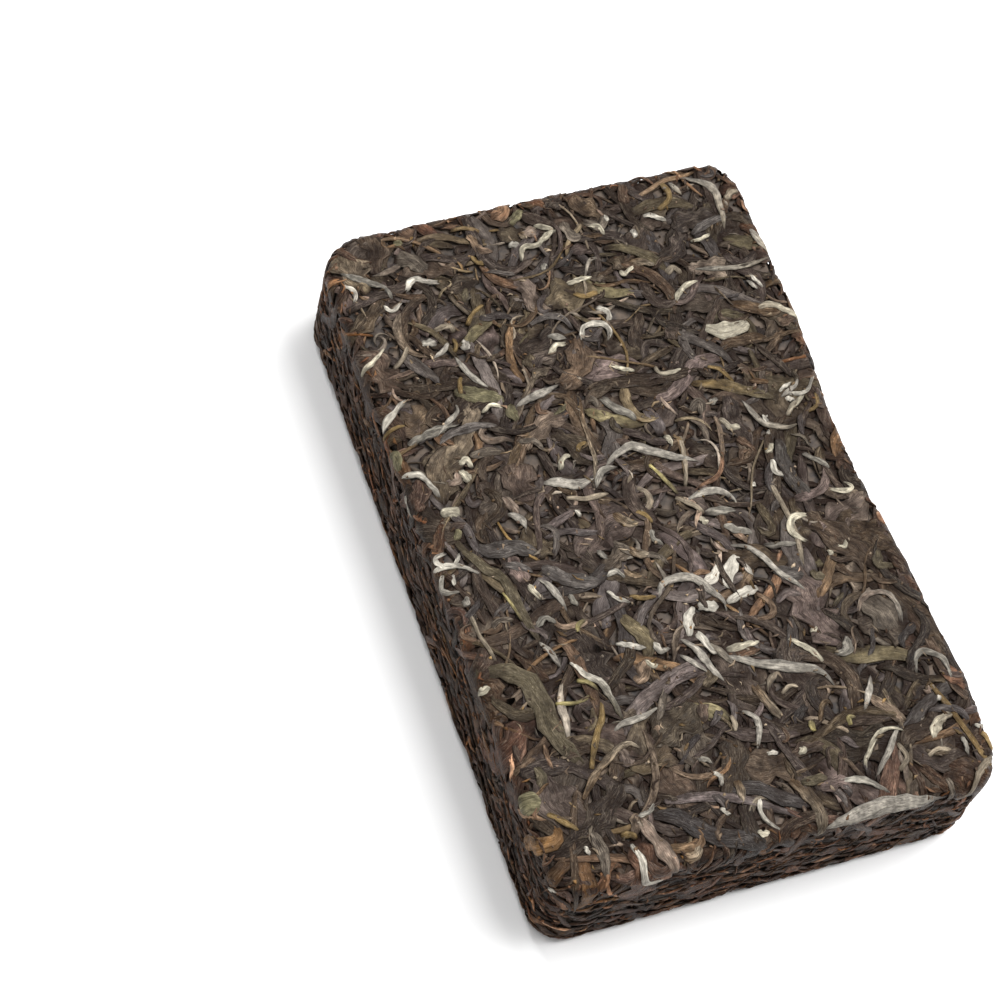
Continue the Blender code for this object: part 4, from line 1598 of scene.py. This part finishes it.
SHOWN_PIECES = (
    # Slate and dark leaves that lie lowest
    Group(Make.SLATE, (Tone.SLATE,), (
        (3.6, -34.9, -1.0, -32.7, -2.6, -27.9, -2.9, -24.6, -5.2),
        (3.2, -24.7, -8.0, -21.5, -11.2, -18.3, -12.8, -14.8, -13.8),
        (3.0, 18.3, -19.2, 23.6, -22.2), (2.0, -34.9, 21.9, -31.1, 23.5, -26.3, 23.5, -22.8, 22.9),
        (2.0, 30.8, 56.0, 35.0, 57.6, 39.4, 58.2),
        (1.5, -9.4, 42.9, -5.6, 44.2, -2.4, 43.2, -0.8, 40.4),
        (1.6, -31.7, -5.8, -29.2, -6.8, -26.6, -8.4),
    )),
    # Grey-brown leaves
    Group(Make.LEAF, (Tone.GREY_BROWN,), (
        (4.0, -29.6, 64.9, -26.3, 62.7, -25.0, 60.1), (2.5, 5.6, 64.9, 6.3, 60.8, 8.2, 60.5),
        (2.2, 10.0, 64.0, 15.0, 64.3), (2.0, -30.1, 17.8, -27.9, 17.8, -23.4, 17.4),
        (1.3, -19.9, 18.4, -17.1, 17.8, -15.8, 15.5), (2.0, 15.8, 17.1, 18.1, 18.4, 17.8, 15.5),
        (1.7, -10.0, -6.1, -7.5, -9.0, -3.0, -11.2, -1.1, -13.5),
        (1.2, -38.0, -17.6, -36.2, -16.6, -33.3, -17.0),
        (1.5, -14.8, -43.0, -12.6, -40.2, -11.0, -37.3), (1.5, -3.6, 24.8, -2.3, 22.0),
        (1.3, 33.4, -68.0, 33.7, -72.8), (2.2, -34.0, -60.0, -33.6, -64.2, -34.3, -69.3),
    )),
    # Brown and golden-brown leaves
    Group(Make.LEAF, (Tone.BROWN, Tone.TAN), (
        (2.0, 15.5, 52.2, 20.6, 50.6), (1.0, -4.9, 24.8, -6.2, 19.7, -6.8, 12.0, -8.7, 6.3),
        (2.0, -7.5, -0.4, -5.6, -3.3, -3.3, -3.9), (2.0, 5.3, -40.8, 6.3, -44.7, 8.2, -48.8),
        (1.5, -19.6, -69.3, -15.8, -68.0), (2.5, 4.7, -60.3, 6.9, -63.8, 7.9, -68.0, 6.3, -72.1),
        (1.7, -4.7, -57.7, -5.3, -62.2), (1.6, -3.8, 64.4, -3.0, 62.4),
        (1.5, -33.2, -53.9, -29.5, -50.1, -24.7, -46.9, -21.5, -45.9, -19.9, -47.2),
        (1.8, -7.6, -8.6, -4.0, -10.4),
    )),
    Group(Make.LEAF, (Tone.RUST,), (
        (1.1, 21.9, 4.0, 24.8, 5.6), (1.6, 23.0, 9.0, 25.6, 5.4),
        (0.9, 31.1, 22.8, 32.7, 22.2, 34.7, 22.8), (2.4, 20.0, 66.0, 21.0, 70.5),
        (1.2, -13.5, 25.8, -11.6, 23.5),
    )),
    # Olive and green leaves
    Group(Make.FLAKE, (Tone.OLIVE,), (
        (4.4, -43.2, -25.6, -39.0, -26.4, -35.5, -29.0, -34.3, -34.0, -34.0, -41.0, -31.2, -47.5),
        (2.2, -38.6, 1.7, -37.5, -1.7, -34.9, -5.8, -32.4, -9.2, -31.4, -16.3, -30.2, -22.4),
        (2.0, 40.1, -20.8, 41.7, -24.6), (2.0, 25.4, -21.4, 27.6, -23.3),
        (2.0, -39.7, -45.9, -40.3, -49.8), (2.0, 6.6, -61.6, 9.8, -61.6, 11.7, -61.9),
        (1.5, -19.6, 51.2, -18.3, 54.4), (1.0, 26.4, -29.7, 28.3, -28.4, 29.6, -27.2),
    )),
    Group(Make.FLAKE, (Tone.GREEN,), (
        (3.6, -28.4, 32.0, -24.7, 30.5, -22.2, 29.4, -19.6, 27.8), (2.2, -18.6, 23.0, -18.2, 26.9),
        (2.0, -4.6, 66.5, -3.3, 68.1, -1.1, 69.4), (1.6, -44.8, 21.9, -43.2, 21.6, -43.5, 18.4),
        (1.0, -11.3, 22.6, -7.8, 24.5), (1.3, -38.7, 1.2, -37.5, 3.7),
        (4.0, -44.6, -52.0, -40.8, -52.6), (1.5, -28.9, 68.4, -27.2, 67.5),
    )),
    Group(Make.FLAKE, (Tone.GOLD, Tone.OLIVE), (
        (2.6, 18.0, 22.8, 22.5, 21.6, 26.4, 19.7, 29.8, 17.8, 33.6, 15.7),
    )),
    # Golden and olive stems
    Group(Make.STEM, (Tone.GOLD,), (
        (0.9, -25.3, 40.7, -24.7, 43.9), (1.0, -20.9, 46.1, -16.4, 49.9),
        (1.0, -14.8, 61.4, -12.9, 58.9), (1.3, 2.1, 48.0, 3.7, 46.8, 6.9, 47.1),
        (0.8, -44.8, 26.1, -41.6, 27.0, -40.0, 27.2), (1.0, -27.2, 31.2, -26.0, 35.0),
        (0.8, 39.8, 11.1, 42.6, 14.6), (1.0, -7.2, 15.2, -9.7, 13.6),
        (1.3, -29.8, -48.8, -27.3, -44.0, -24.7, -40.2, -23.4, -37.0),
        (1.2, -40.6, -54.9, -38.7, -56.8, -36.2, -59.3), (1.4, 43.6, -61.0, 44.9, -64.8),
        (1.4, -29.2, -62.3, -26.3, -63.5), (1.3, 26.1, 63.0, 28.9, 64.6, 29.6, 66.8, 28.6, 69.4),
        (1.0, -10.7, -17.9, -8.8, -18.9, -5.9, -19.2), (0.9, -3.4, -1.4, -1.0, -4.4),
        (1.0, 22.6, 25.6, 25.0, 24.0, 26.6, 21.0),
    )),
    Group(Make.STEM, (Tone.YELLOW, Tone.OLIVE), (
        (0.7, -33.6, -11.2, -32.0, -17.6), (0.9, -31.7, -35.1, -27.3, -35.8, -24.7, -34.8),
        (1.0, -22.8, -22.4, -20.6, -20.5), (1.2, 12.7, -52.6, 13.0, -50.4),
        (1.0, 19.7, -53.3, 21.3, -52.0), (1.0, -26.3, -31.6, -23.1, -34.5),
        (1.0, 3.1, 7.6, 5.0, 3.7, 6.6, 0.2),
    )),
    Group(Make.STEM, (Tone.TAN,), (
        (1.4, -27.6, 46.4, -24.4, 46.7, -24.1, 45.2), (1.6, 40.7, 62.1, 43.6, 64.0),
        (1.4, 22.2, 48.0, 25.1, 47.4), (0.9, -41.0, -14.4, -40.6, -18.9, -39.4, -24.0),
        (1.2, -15.1, 4.7, -6.8, 3.7), (1.2, 5.6, -0.4, 8.2, -2.6, 10.1, -4.9),
        (1.1, 25.4, -64.2, 27.0, -59.0), (0.9, 9.8, -44.0, 13.3, -43.4),
        (1.0, -1.1, -45.6, -1.5, -48.8), (1.0, 31.8, -62.9, 34.0, -62.2, 36.6, -62.9),
        (1.1, 36.0, -73.3, 40.1, -68.2, 44.6, -65.5), (1.0, -38.0, 40.0, -34.0, 44.0),
        (1.0, 11.6, 12.0, 10.4, 6.0, 8.6, 1.4), (1.2, 25.8, -2.0, 26.2, -12.0, 24.4, -20.0),
    )),
    Group(Make.STRIP, (Tone.TAN, Tone.CREAM), (
        (1.1, 12.0, 28.3, 12.7, 26.4, 15.2, 26.1, 17.1, 26.4),
        (1.5, 37.2, 36.2, 40.1, 35.9, 42.9, 34.0, 44.8, 31.6),
        (1.4, 21.0, 13.9, 22.5, 11.7, 24.8, 11.0), (2.0, 39.0, -56.0, 34.0, -60.0),
        (1.2, 35.0, 11.4, 37.2, 13.0, 40.4, 15.2),
    )),
    Group(Make.STRIP, (Tone.PINK,), (
        (2.8, -24.7, -60.6, -23.4, -64.8, -22.5, -68.0, -21.3, -72.0),
        (1.0, 9.2, -11.2, 11.4, -13.8), (2.4, -0.2, 63.4, -3.2, 63.4),
        (1.3, 35.9, -51.1, 37.2, -50.0), (1.6, -36.0, 12.6, -33.6, 15.0),
        (1.7, -27.0, 8.0, -25.2, 3.4),
    )),
    # Grey and silver strips and buds
    Group(Make.STRIP, (Tone.GREY,), (
        (1.4, -41.2, 63.8, -37.5, 60.8, -34.3, 58.9, -33.2, 55.7), (1.2, -2.4, 54.7, -1.1, 56.3),
        (1.8, -40.6, 22.9, -37.5, 23.8, -33.0, 24.8, -29.8, 25.1), (1.3, 20.3, 17.4, 22.2, 18.1),
        (1.3, -41.6, -12.2, -40.3, -10.3), (1.2, 18.7, -14.1, 21.9, -15.0, 25.1, -15.4),
        (1.7, 12.7, -8.4, 14.9, -9.9, 17.8, -11.2), (1.1, -13.5, -7.4, -11.9, -9.6),
        (1.1, -1.8, -5.8, -0.5, -9.3), (1.2, 35.0, 2.5, 37.5, 0.5, 39.1, -1.7),
        (1.2, 41.9, -49.3, 41.7, -45.0, 39.1, -42.8, 36.9, -44.0, 35.9, -46.9),
        (1.0, -10.4, -52.3, -7.8, -53.6), (1.8, 26.3, -36.2, 22.6, -39.2),
        (1.2, -21.8, -14.7, -20.9, -17.3), (1.2, -29.8, -19.5, -25.7, -19.5),
        (1.6, 10.1, -4.9, 13.0, -5.2, 16.5, -5.8), (2.0, -1.0, 23.9, 0.9, 21.6, 4.4, 17.8),
    )),
    Group(Make.BUD, (Tone.SILVER,), (
        (1.4, -25.6, 39.7, -24.7, 36.0, -22.8, 32.6, -21.3, 31.2), (1.5, -6.5, 39.7, -2.7, 38.5),
        (1.2, -29.8, 40.3, -27.2, 41.6, -25.6, 43.5),
        (1.8, -17.6, 26.0, -15.1, 27.0, -11.9, 27.7, -7.8, 28.9),
        (1.1, -28.9, 29.6, -29.2, 27.7, -31.7, 25.8, -34.8, 23.3),
        (2.4, -18.4, 8.9, -15.1, 7.9, -12.0, 6.9, -8.6, 7.4), (1.5, -8.8, 5.4, -3.0, 8.8),
        (2.1, -5.0, 9.6, -2.4, 11.4, 0.1, 12.3, 1.5, 12.3, 4.7, 10.4, 8.5, 8.2, 13.9, 5.9),
        (1.1, 35.3, 15.5, 38.8, 17.1, 40.1, 18.7), (1.4, -26.3, -10.1, -24.4, -12.8, -23.1, -17.8),
        (1.3, -30.4, -22.4, -28.9, -25.6, -28.2, -28.6),
        (1.9, -5.4, -19.6, -4.0, -17.3, -1.1, -16.6, 2.4, -17.6, 4.7, -20.8, 6.3, -23.7,
         6.0, -25.8),
        (1.4, 11.6, -12.7, 14.9, -13.4, 17.1, -16.3, 19.3, -20.8, 21.9, -24.0, 22.6, -26.4),
        (1.6, 7.5, -1.5, 11.7, -0.7, 15.2, -1.3, 17.1, -3.3, 17.1, -4.9),
        (1.2, 13.0, -16.3, 13.6, -18.9, 14.2, -19.8),
        (1.7, -4.6, -28.6, -2.4, -31.6, -1.0, -36.2, 0.4, -39.0),
        (1.3, -5.9, -31.6, -3.3, -34.8, -2.1, -36.4),
        (2.3, 2.8, -34.4, 6.9, -36.7, 10.1, -38.0, 13.9, -39.5, 17.4, -40.8, 19.3, -42.7,
         19.9, -45.2),
        (2.6, 8.3, -70.5, 13.3, -69.9, 19.7, -69.5, 26.1, -70.2, 32.8, -71.2),
        (1.3, 23.3, -51.3, 25.4, -48.2, 27.5, -44.6),
        (1.4, -23.6, -43.1, -21.5, -42.1, -17.7, -41.8, -13.5, -40.5),
        (1.3, 1.2, -45.0, 3.1, -47.2, 2.8, -50.1, 1.2, -53.3), (1.6, -27.3, 4.2, -24.7, 0.2),
        (1.3, 28.6, -55.6, 20.4, -64.4),
    )),
    Group(Make.BUD, (Tone.SILVER, Tone.TAN), (
        (1.8, 34.0, 69.3, 37.2, 67.2, 39.1, 64.9, 38.8, 60.1, 37.8, 55.3),
        (1.2, 27.6, 47.8, 30.8, 47.1, 35.6, 46.1, 40.4, 46.1, 45.4, 47.3),
        (1.6, 42.9, 54.2, 43.3, 51.9, 44.6, 47.8), (1.2, 30.5, 68.8, 32.4, 65.3),
        (1.4, 27.0, 17.0, 28.3, 13.0, 30.2, 10.4, 34.0, 8.8, 37.0, 9.1),
    )),
    # Cream and white strips
    Group(Make.STRIP, (Tone.CREAM,), (
        (0.9, -44.1, 40.6, -41.0, 42.6, -38.4, 44.9),
        (1.2, -5.5, 58.0, -4.3, 60.5, -1.1, 60.8, 1.8, 62.7, 3.7, 63.1),
        (1.1, -0.3, 65.2, 0.0, 61.1), (1.2, 10.4, 62.5, 13.0, 59.8),
        (1.3, -7.5, 35.6, -5.6, 37.2, -3.0, 37.5), (1.0, 13.0, 50.9, 13.6, 49.9, 16.2, 51.2),
        (1.2, 21.7, 41.4, 23.8, 43.9, 27.8, 45.0), (0.9, 29.9, 54.4, 32.1, 54.1, 34.4, 55.0),
        (0.9, -24.7, 26.4, -20.3, 26.4), (1.0, 3.1, 30.8, 5.3, 29.2, 7.9, 28.3),
        (1.2, -14.2, 10.7, -13.2, 12.6, -11.0, 13.6),
        (1.2, -28.2, -10.6, -27.9, -12.8, -26.9, -14.4), (1.5, -43.8, -28.4, -42.2, -28.8),
        (1.5, 30.0, -10.2, 27.0, -10.0, 25.4, -12.2, 26.0, -14.4, 27.9, -15.6),
        (1.2, 30.8, -18.2, 31.1, -19.5), (1.1, 37.2, -6.1, 39.1, -7.1, 41.7, -6.8, 40.7, -5.2),
        (1.5, 3.1, -32.9, 6.0, -33.2, 9.7, -32.9), (1.3, 15.3, -34.0, 18.1, -36.4, 20.0, -40.2),
        (1.0, -4.9, -68.3, -2.7, -68.9),
        (1.0, 19.3, -62.4, 20.6, -59.7, 24.4, -56.1, 26.7, -55.8, 29.1, -57.0),
        (1.3, 9.5, -54.8, 8.2, -56.1), (0.9, -12.6, -31.0, -11.6, -32.6, -10.4, -32.3),
        (1.5, 8.5, -5.8, 9.5, -7.4), (0.9, 32.4, -17.6, 35.0, -16.9),
        (0.9, 20.0, -33.5, 21.9, -33.1), (1.2, 1.5, 50.6, 7.0, 50.9), (1.2, 27.7, 4.4, 29.9, 6.3),
        (1.2, 8.5, 13.0, 9.2, 10.4), (1.3, -32.7, 16.5, -31.1, 17.1, -30.4, 15.2),
        (1.8, -33.0, 15.2, -32.0, 12.3), (2.3, -39.4, 6.9, -37.5, 7.2, -35.9, 6.0),
    )),
    Group(Make.STRIP, (Tone.WHITE, Tone.SILVER), (
        (1.1, -41.7, 60.8, -40.2, 59.2, -40.0, 57.9, -40.8, 56.6),
        (1.4, -30.3, 56.8, -27.9, 58.7, -25.3, 57.9, -22.6, 56.9),
        (0.9, -35.6, 54.3, -33.9, 52.8, -31.7, 54.4), (1.8, -6.6, 62.4, -4.6, 61.4),
        (1.8, -31.2, 43.9, -28.0, 43.5), (1.6, -23.4, 40.7, -22.4, 43.0),
        (1.4, 5.3, 43.8, 6.7, 40.0),
        (1.3, 0.0, 37.4, 0.9, 39.7, 2.8, 40.4, 5.3, 39.5, 6.0, 37.5, 5.0, 36.0),
        (1.2, 22.3, 62.3, 24.5, 61.7, 26.9, 60.1), (1.4, 19.3, 57.7, 19.5, 59.7),
        (1.3, 14.2, 63.2, 15.2, 63.5), (0.8, 37.7, 42.9, 39.1, 40.2), (0.9, 38.8, 43.9, 40.3, 40.2),
        (1.3, -44.2, 27.5, -41.3, 30.2, -37.9, 32.7),
        (1.3, -43.6, 17.0, -40.6, 15.9, -39.4, 13.3, -38.4, 10.5), (0.9, -44.1, 13.3, -44.9, 8.7),
        (0.9, 37.0, 15.8, 43.4, 18.5), (0.8, 35.3, 16.7, 38.6, 18.2), (1.1, 36.0, 14.8, 38.0, 14.1),
        (1.1, 30.9, 12.5, 30.5, 10.5), (1.3, 29.6, 8.9, 30.4, 8.7),
        (1.4, 28.2, 2.8, 28.0, -0.1, 29.8, -1.1), (1.3, 22.1, -1.2, 22.9, -1.6),
        (1.0, -14.3, 1.8, -13.6, 0.3), (1.2, -44.0, -3.5, -40.0, -3.9, -36.3, -6.5),
        (0.9, -42.5, -3.6, -41.0, -0.7), (0.8, -40.3, -3.6, -38.7, -1.3),
        (0.9, -43.0, -5.0, -43.8, -7.1, -42.9, -8.7, -41.1, -9.1), (0.7, -41.9, -7.6, -41.3, -5.3),
        (1.3, -16.6, -26.4, -13.5, -28.1, -11.4, -28.5), (1.2, -9.6, -28.0, -7.0, -29.8),
        (0.9, -14.4, -15.8, -13.2, -17.9, -10.8, -19.3), (1.0, -13.4, -13.0, -10.2, -14.2),
        (1.5, -1.1, -28.2, 0.1, -32.0, 1.3, -33.1), (1.0, 2.6, -54.5, 4.9, -54.5),
        (1.4, -27.9, -64.4, -27.3, -67.6, -27.6, -70.2, -26.6, -72.1, -24.7, -72.4, -22.3, -71.5),
        (0.9, -2.1, -62.3, -2.7, -64.8, -2.1, -67.3, -0.4, -69.1),
        (1.3, 13.7, -63.1, 17.4, -63.8, 20.0, -65.7, 21.8, -67.8),
        (0.9, -24.9, -59.8, -21.3, -58.3), (0.9, 39.6, -60.8, 39.4, -64.7),
        (1.0, 37.4, -52.6, 38.2, -53.0), (0.9, 42.8, -59.3, 44.8, -59.8),
        (1.2, -46.2, -68.0, -44.5, -69.3), (0.9, -36.2, -62.4, -35.9, -64.4),
        (0.9, -9.6, -62.1, -8.2, -63.7), (0.9, -8.8, -55.3, -7.8, -58.3),
    )),
    Group(Make.STRIP, (Tone.WHITE, Tone.OLIVE), (
        (1.4, -26.2, -28.0, -24.1, -31.3, -21.8, -34.2, -20.9, -41.0),
    )),
    # Broad white and cream chips
    Group(Make.CHIP, (Tone.WHITE,), (
        (2.7, 8.0, -21.0, 10.1, -17.6, 12.6, -14.8), (2.2, 6.9, -23.7, 9.8, -23.0, 13.9, -22.2),
        (2.5, 1.2, -23.1, 5.2, -23.7), (2.2, -2.7, -28.6, -1.4, -25.3, 0.3, -23.0),
        (2.0, 3.5, -19.1, 6.3, -18.2, 8.7, -15.5),
    )),
    Group(Make.CHIP, (Tone.CREAM,), (
        (3.8, 25.2, 34.2, 28.4, 32.5, 31.2, 32.3, 34.0, 33.2),
    )),
    # A round pale leaf with a rolled rim near the right side
    Group(Make.FLAKE, (Tone.GREY_BROWN,), (
        (6.4, 33.4, -29.2, 35.0, -33.2, 36.2, -37.2),
    )),
    Group(Make.STRIP, (Tone.PINK, Tone.GREY), (
        (1.2, 30.8, -31.8, 32.2, -29.8, 34.8, -28.9, 37.4, -29.6, 38.6, -32.2, 38.1, -36.7),
    )),
    # Thin dark leaves that cross the pale ones
    Group(Make.DARK, (Tone.DARK,), (
        (1.3, 8.6, -13.4, 8.4, -18.0, 9.4, -23.6), (1.2, 3.4, -19.2, 2.6, -24.6),
        (1.4, 5.6, -12.6, 9.0, -14.4), (1.2, -0.6, -27.4, 1.6, -24.6),
        (1.0, 12.2, -15.6, 13.0, -18.4),
    )),
)


@dataclass(frozen=True)
class Core:
    """The block under the leaves, as coarse as the pressed leaves that show in the gaps."""

    form: BrickForm
    voxel: float = 1.0
    rim: float = 0.7
    sink: float = 0.35
    relief: float = 0.35
    grain: float = 0.45

    def build(self) -> bpy.types.Object:
        """Model the rounded block with mesh operators and roughen it.

        Returns:
            The core.
        """
        form = self.form
        middle = (form.core_top + form.leaf_cover) / 2
        bpy.ops.object.select_all(action="DESELECT")
        bpy.ops.mesh.primitive_cube_add(size=1.0, location=(0.0, 0.0, middle * MM))
        item = bpy.context.object
        item.name = "leafy_core"
        item.data.name = "leafy_core"
        item.scale = (2 * form.half[0] * MM, 2 * form.half[1] * MM,
                      (form.core_top - form.leaf_cover) * MM)
        bpy.ops.object.transform_apply(location=True, rotation=True, scale=True)
        bpy.ops.object.mode_set(mode="EDIT")
        bpy.ops.mesh.select_mode(type="EDGE")
        corners = ((1, 1, form.far_right_radius), (-1, 1, form.far_left_radius),
                   (-1, -1, form.near_left_radius), (1, -1, form.near_right_radius))
        for side_x, side_y, radius in corners:
            LeafPattern.pick(item, lambda edge: self.is_corner(edge, side_x, side_y), "edges")
            bpy.ops.mesh.bevel(offset=radius * MM, segments=8, affect="EDGES")
        for level, radius in ((form.core_top, self.rim), (form.leaf_cover, form.under_rim)):
            LeafPattern.pick(item, lambda edge: all(abs(vert.co.z / MM - level) < 0.01
                                                    for vert in edge.verts), "edges")
            bpy.ops.mesh.bevel(offset=radius * MM, segments=4, affect="EDGES")
        bpy.ops.object.mode_set(mode="OBJECT")
        remesh = item.modifiers.new("even_mesh", "REMESH")
        remesh.mode = "VOXEL"
        remesh.voxel_size = self.voxel * MM
        bpy.ops.object.modifier_apply(modifier=remesh.name)
        self.roughen(item)
        item.data.shade_smooth()
        item.data.materials.append(self.material())
        return item

    @staticmethod
    def is_corner(edge: bmesh.types.BMEdge, side_x: int, side_y: int) -> bool:
        """Whether an edge is the upright edge at one corner of the box.

        Args:
            edge: The edge.
            side_x: The corner's side across, 1 or -1.
            side_y: Its side along, 1 or -1.

        Returns:
            True if it is.
        """
        ends = [vert.co for vert in edge.verts]
        upright = abs(ends[0].z - ends[1].z) > 0.01
        return upright and all(end.x * side_x > 0 and end.y * side_y > 0 for end in ends)

    def roughen(self, item: bpy.types.Object) -> None:
        """Push the skin in and out like pressed leaves, then give it the pressed shape.

        Args:
            item: The rounded block.
        """
        mesh = item.data
        count = len(mesh.vertices)
        points = np.empty(count * 3)
        normals = np.empty(count * 3)
        mesh.vertices.foreach_get("co", points)
        mesh.vertices.foreach_get("normal", normals)
        points = points.reshape(-1, 3) / MM
        bumps = np.array([
            noise.fractal(Vector(point) * self.grain, 0.8, 2.2, 3) for point in points
        ])
        depth = -self.sink + self.relief * bumps
        placed = self.form.settle(points + normals.reshape(-1, 3) * depth[:, None])
        mesh.vertices.foreach_set("co", (placed * MM).ravel())
        mesh.update()

    def material(self) -> bpy.types.Material:
        """Make the dark, crumbly look of the pressed mass in the gaps.

        Returns:
            The node material.
        """
        material = bpy.data.materials.new("leafy_core")
        material.use_nodes = True
        nodes = NodeBoard(material.node_tree)
        surface = material.node_tree.nodes["Principled BSDF"]
        place = nodes.add("ShaderNodeTexCoord").outputs["Object"]
        patches = nodes.noise(place, (1.0, 1.0, 2.2), 420.0, 4.0)
        ramp = nodes.add("ShaderNodeValToRGB")
        ramp.color_ramp.elements[0].position = 0.35
        ramp.color_ramp.elements[0].color = (*(Tone.BLACK.linear() * 0.5), 1.0)
        ramp.color_ramp.elements[1].position = 0.7
        ramp.color_ramp.elements[1].color = (*Tone.UMBER.linear(), 1.0)
        nodes.link(patches, ramp.inputs["Fac"])
        nodes.link(ramp.outputs["Color"], surface.inputs["Base Color"])
        surface.inputs["Roughness"].default_value = 0.75
        bump = nodes.add("ShaderNodeBump")
        bump.inputs["Strength"].default_value = 0.8
        bump.inputs["Distance"].default_value = 0.4 * MM
        nodes.link(nodes.noise(place, (1.0, 1.0, 2.0), 700.0, 3.0), bump.inputs["Height"])
        nodes.link(bump.outputs["Normal"], surface.inputs["Normal"])
        return material


@dataclass(frozen=True)
class Studio:
    """Plain pale floor, soft lights and the camera of the photograph."""

    camera_place: tuple[float, float, float] = (-186.648, -216.593, 481.714)
    camera_right: tuple[float, float, float] = (0.93070315, -0.32755498, 0.1627863)
    camera_down: tuple[float, float, float] = (-0.2128249, -0.84689515, -0.48731322)
    focal_share: float = 2.85
    sensor: float = 36.0
    floor_size: float = 6.0
    floor_tone: float = 0.86

    def build(self) -> None:
        """Make the camera, the floor and the lights."""
        self.add_camera()
        self.add_floor()
        self.add_lights()

    def add_camera(self) -> None:
        """The camera at the photograph's place, direction and focal length."""
        lens = bpy.data.cameras.new("camera")
        lens.sensor_width = self.sensor
        lens.lens = self.focal_share * self.sensor
        lens.clip_start = 0.02
        lens.clip_end = 50.0
        camera = bpy.data.objects.new("camera", lens)
        right = Vector(self.camera_right)
        down = Vector(self.camera_down)
        back = right.cross(-down)
        turn = Matrix((right, -down, back)).transposed()
        camera.matrix_world = Matrix.Translation(Vector(self.camera_place) * MM) @ turn.to_4x4()
        bpy.context.scene.collection.objects.link(camera)
        bpy.context.scene.camera = camera

    def add_floor(self) -> None:
        """A plain pale floor."""
        bpy.ops.object.select_all(action="DESELECT")
        bpy.ops.mesh.primitive_plane_add(size=self.floor_size, location=(0.0, 0.0, 0.0))
        floor = bpy.context.object
        floor.name = "floor"
        material = bpy.data.materials.new("pale_floor")
        material.use_nodes = True
        surface = material.node_tree.nodes["Principled BSDF"]
        surface.inputs["Base Color"].default_value = (*[self.floor_tone] * 3, 1.0)
        surface.inputs["Roughness"].default_value = 0.8
        floor.data.materials.append(material)

    def add_lights(self) -> None:
        """A broad soft light at the right, weaker ones at the left and behind, and a pale room."""
        self.add_area("key_light", (0.6, 0.05, 1.07), 1.0, 27.5)
        self.add_area("fill_light", (-0.45, -0.15, 1.3), 1.0, 5.0)
        self.add_area("spark_light", (-0.13, 0.98, 0.85), 0.2, 6.0)
        world = bpy.data.worlds.new("pale_room")
        world.use_nodes = True
        background = world.node_tree.nodes["Background"]
        background.inputs["Color"].default_value = (1.0, 1.0, 1.0, 1.0)
        background.inputs["Strength"].default_value = 0.35
        bpy.context.scene.world = world
        bpy.context.scene.view_settings.view_transform = "Standard"

    def add_area(self, name: str, place: tuple[float, float, float], size: float,
                 power: float) -> None:
        """A square soft light that faces the brick.

        Args:
            name: The light's name.
            place: Where it is, in metres.
            size: Its edge, in metres.
            power: Its power, in watts.
        """
        light = bpy.data.lights.new(name, "AREA")
        light.size = size
        light.energy = power
        item = bpy.data.objects.new(name, light)
        item.location = place
        item.rotation_euler = (-Vector(place)).to_track_quat("-Z", "Y").to_euler()
        bpy.context.scene.collection.objects.link(item)


def attach(item: bpy.types.Object) -> None:
    """Make a piece ride on the brick's body and stand for its solid.

    Args:
        item: The piece.
    """
    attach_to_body(item, "root")
    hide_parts(BRICK_NODE)
    triangles = sum(len(polygon.vertices) - 2 for polygon in item.data.polygons)
    LOG.info("%s: %d triangles", item.name, triangles)


def main() -> None:
    """Build the brick's core, its leaves and the studio."""
    logging.basicConfig(level=logging.INFO, format="%(message)s")
    form = BrickForm()
    attach(Core(form).build())
    tea = Tea(form)
    tea.fill()
    LOG.info("%d leaves laid", tea.layer.count)
    for item in tea.finish():
        attach(item)
    Studio().build()


if __name__ == "__main__":
    main()
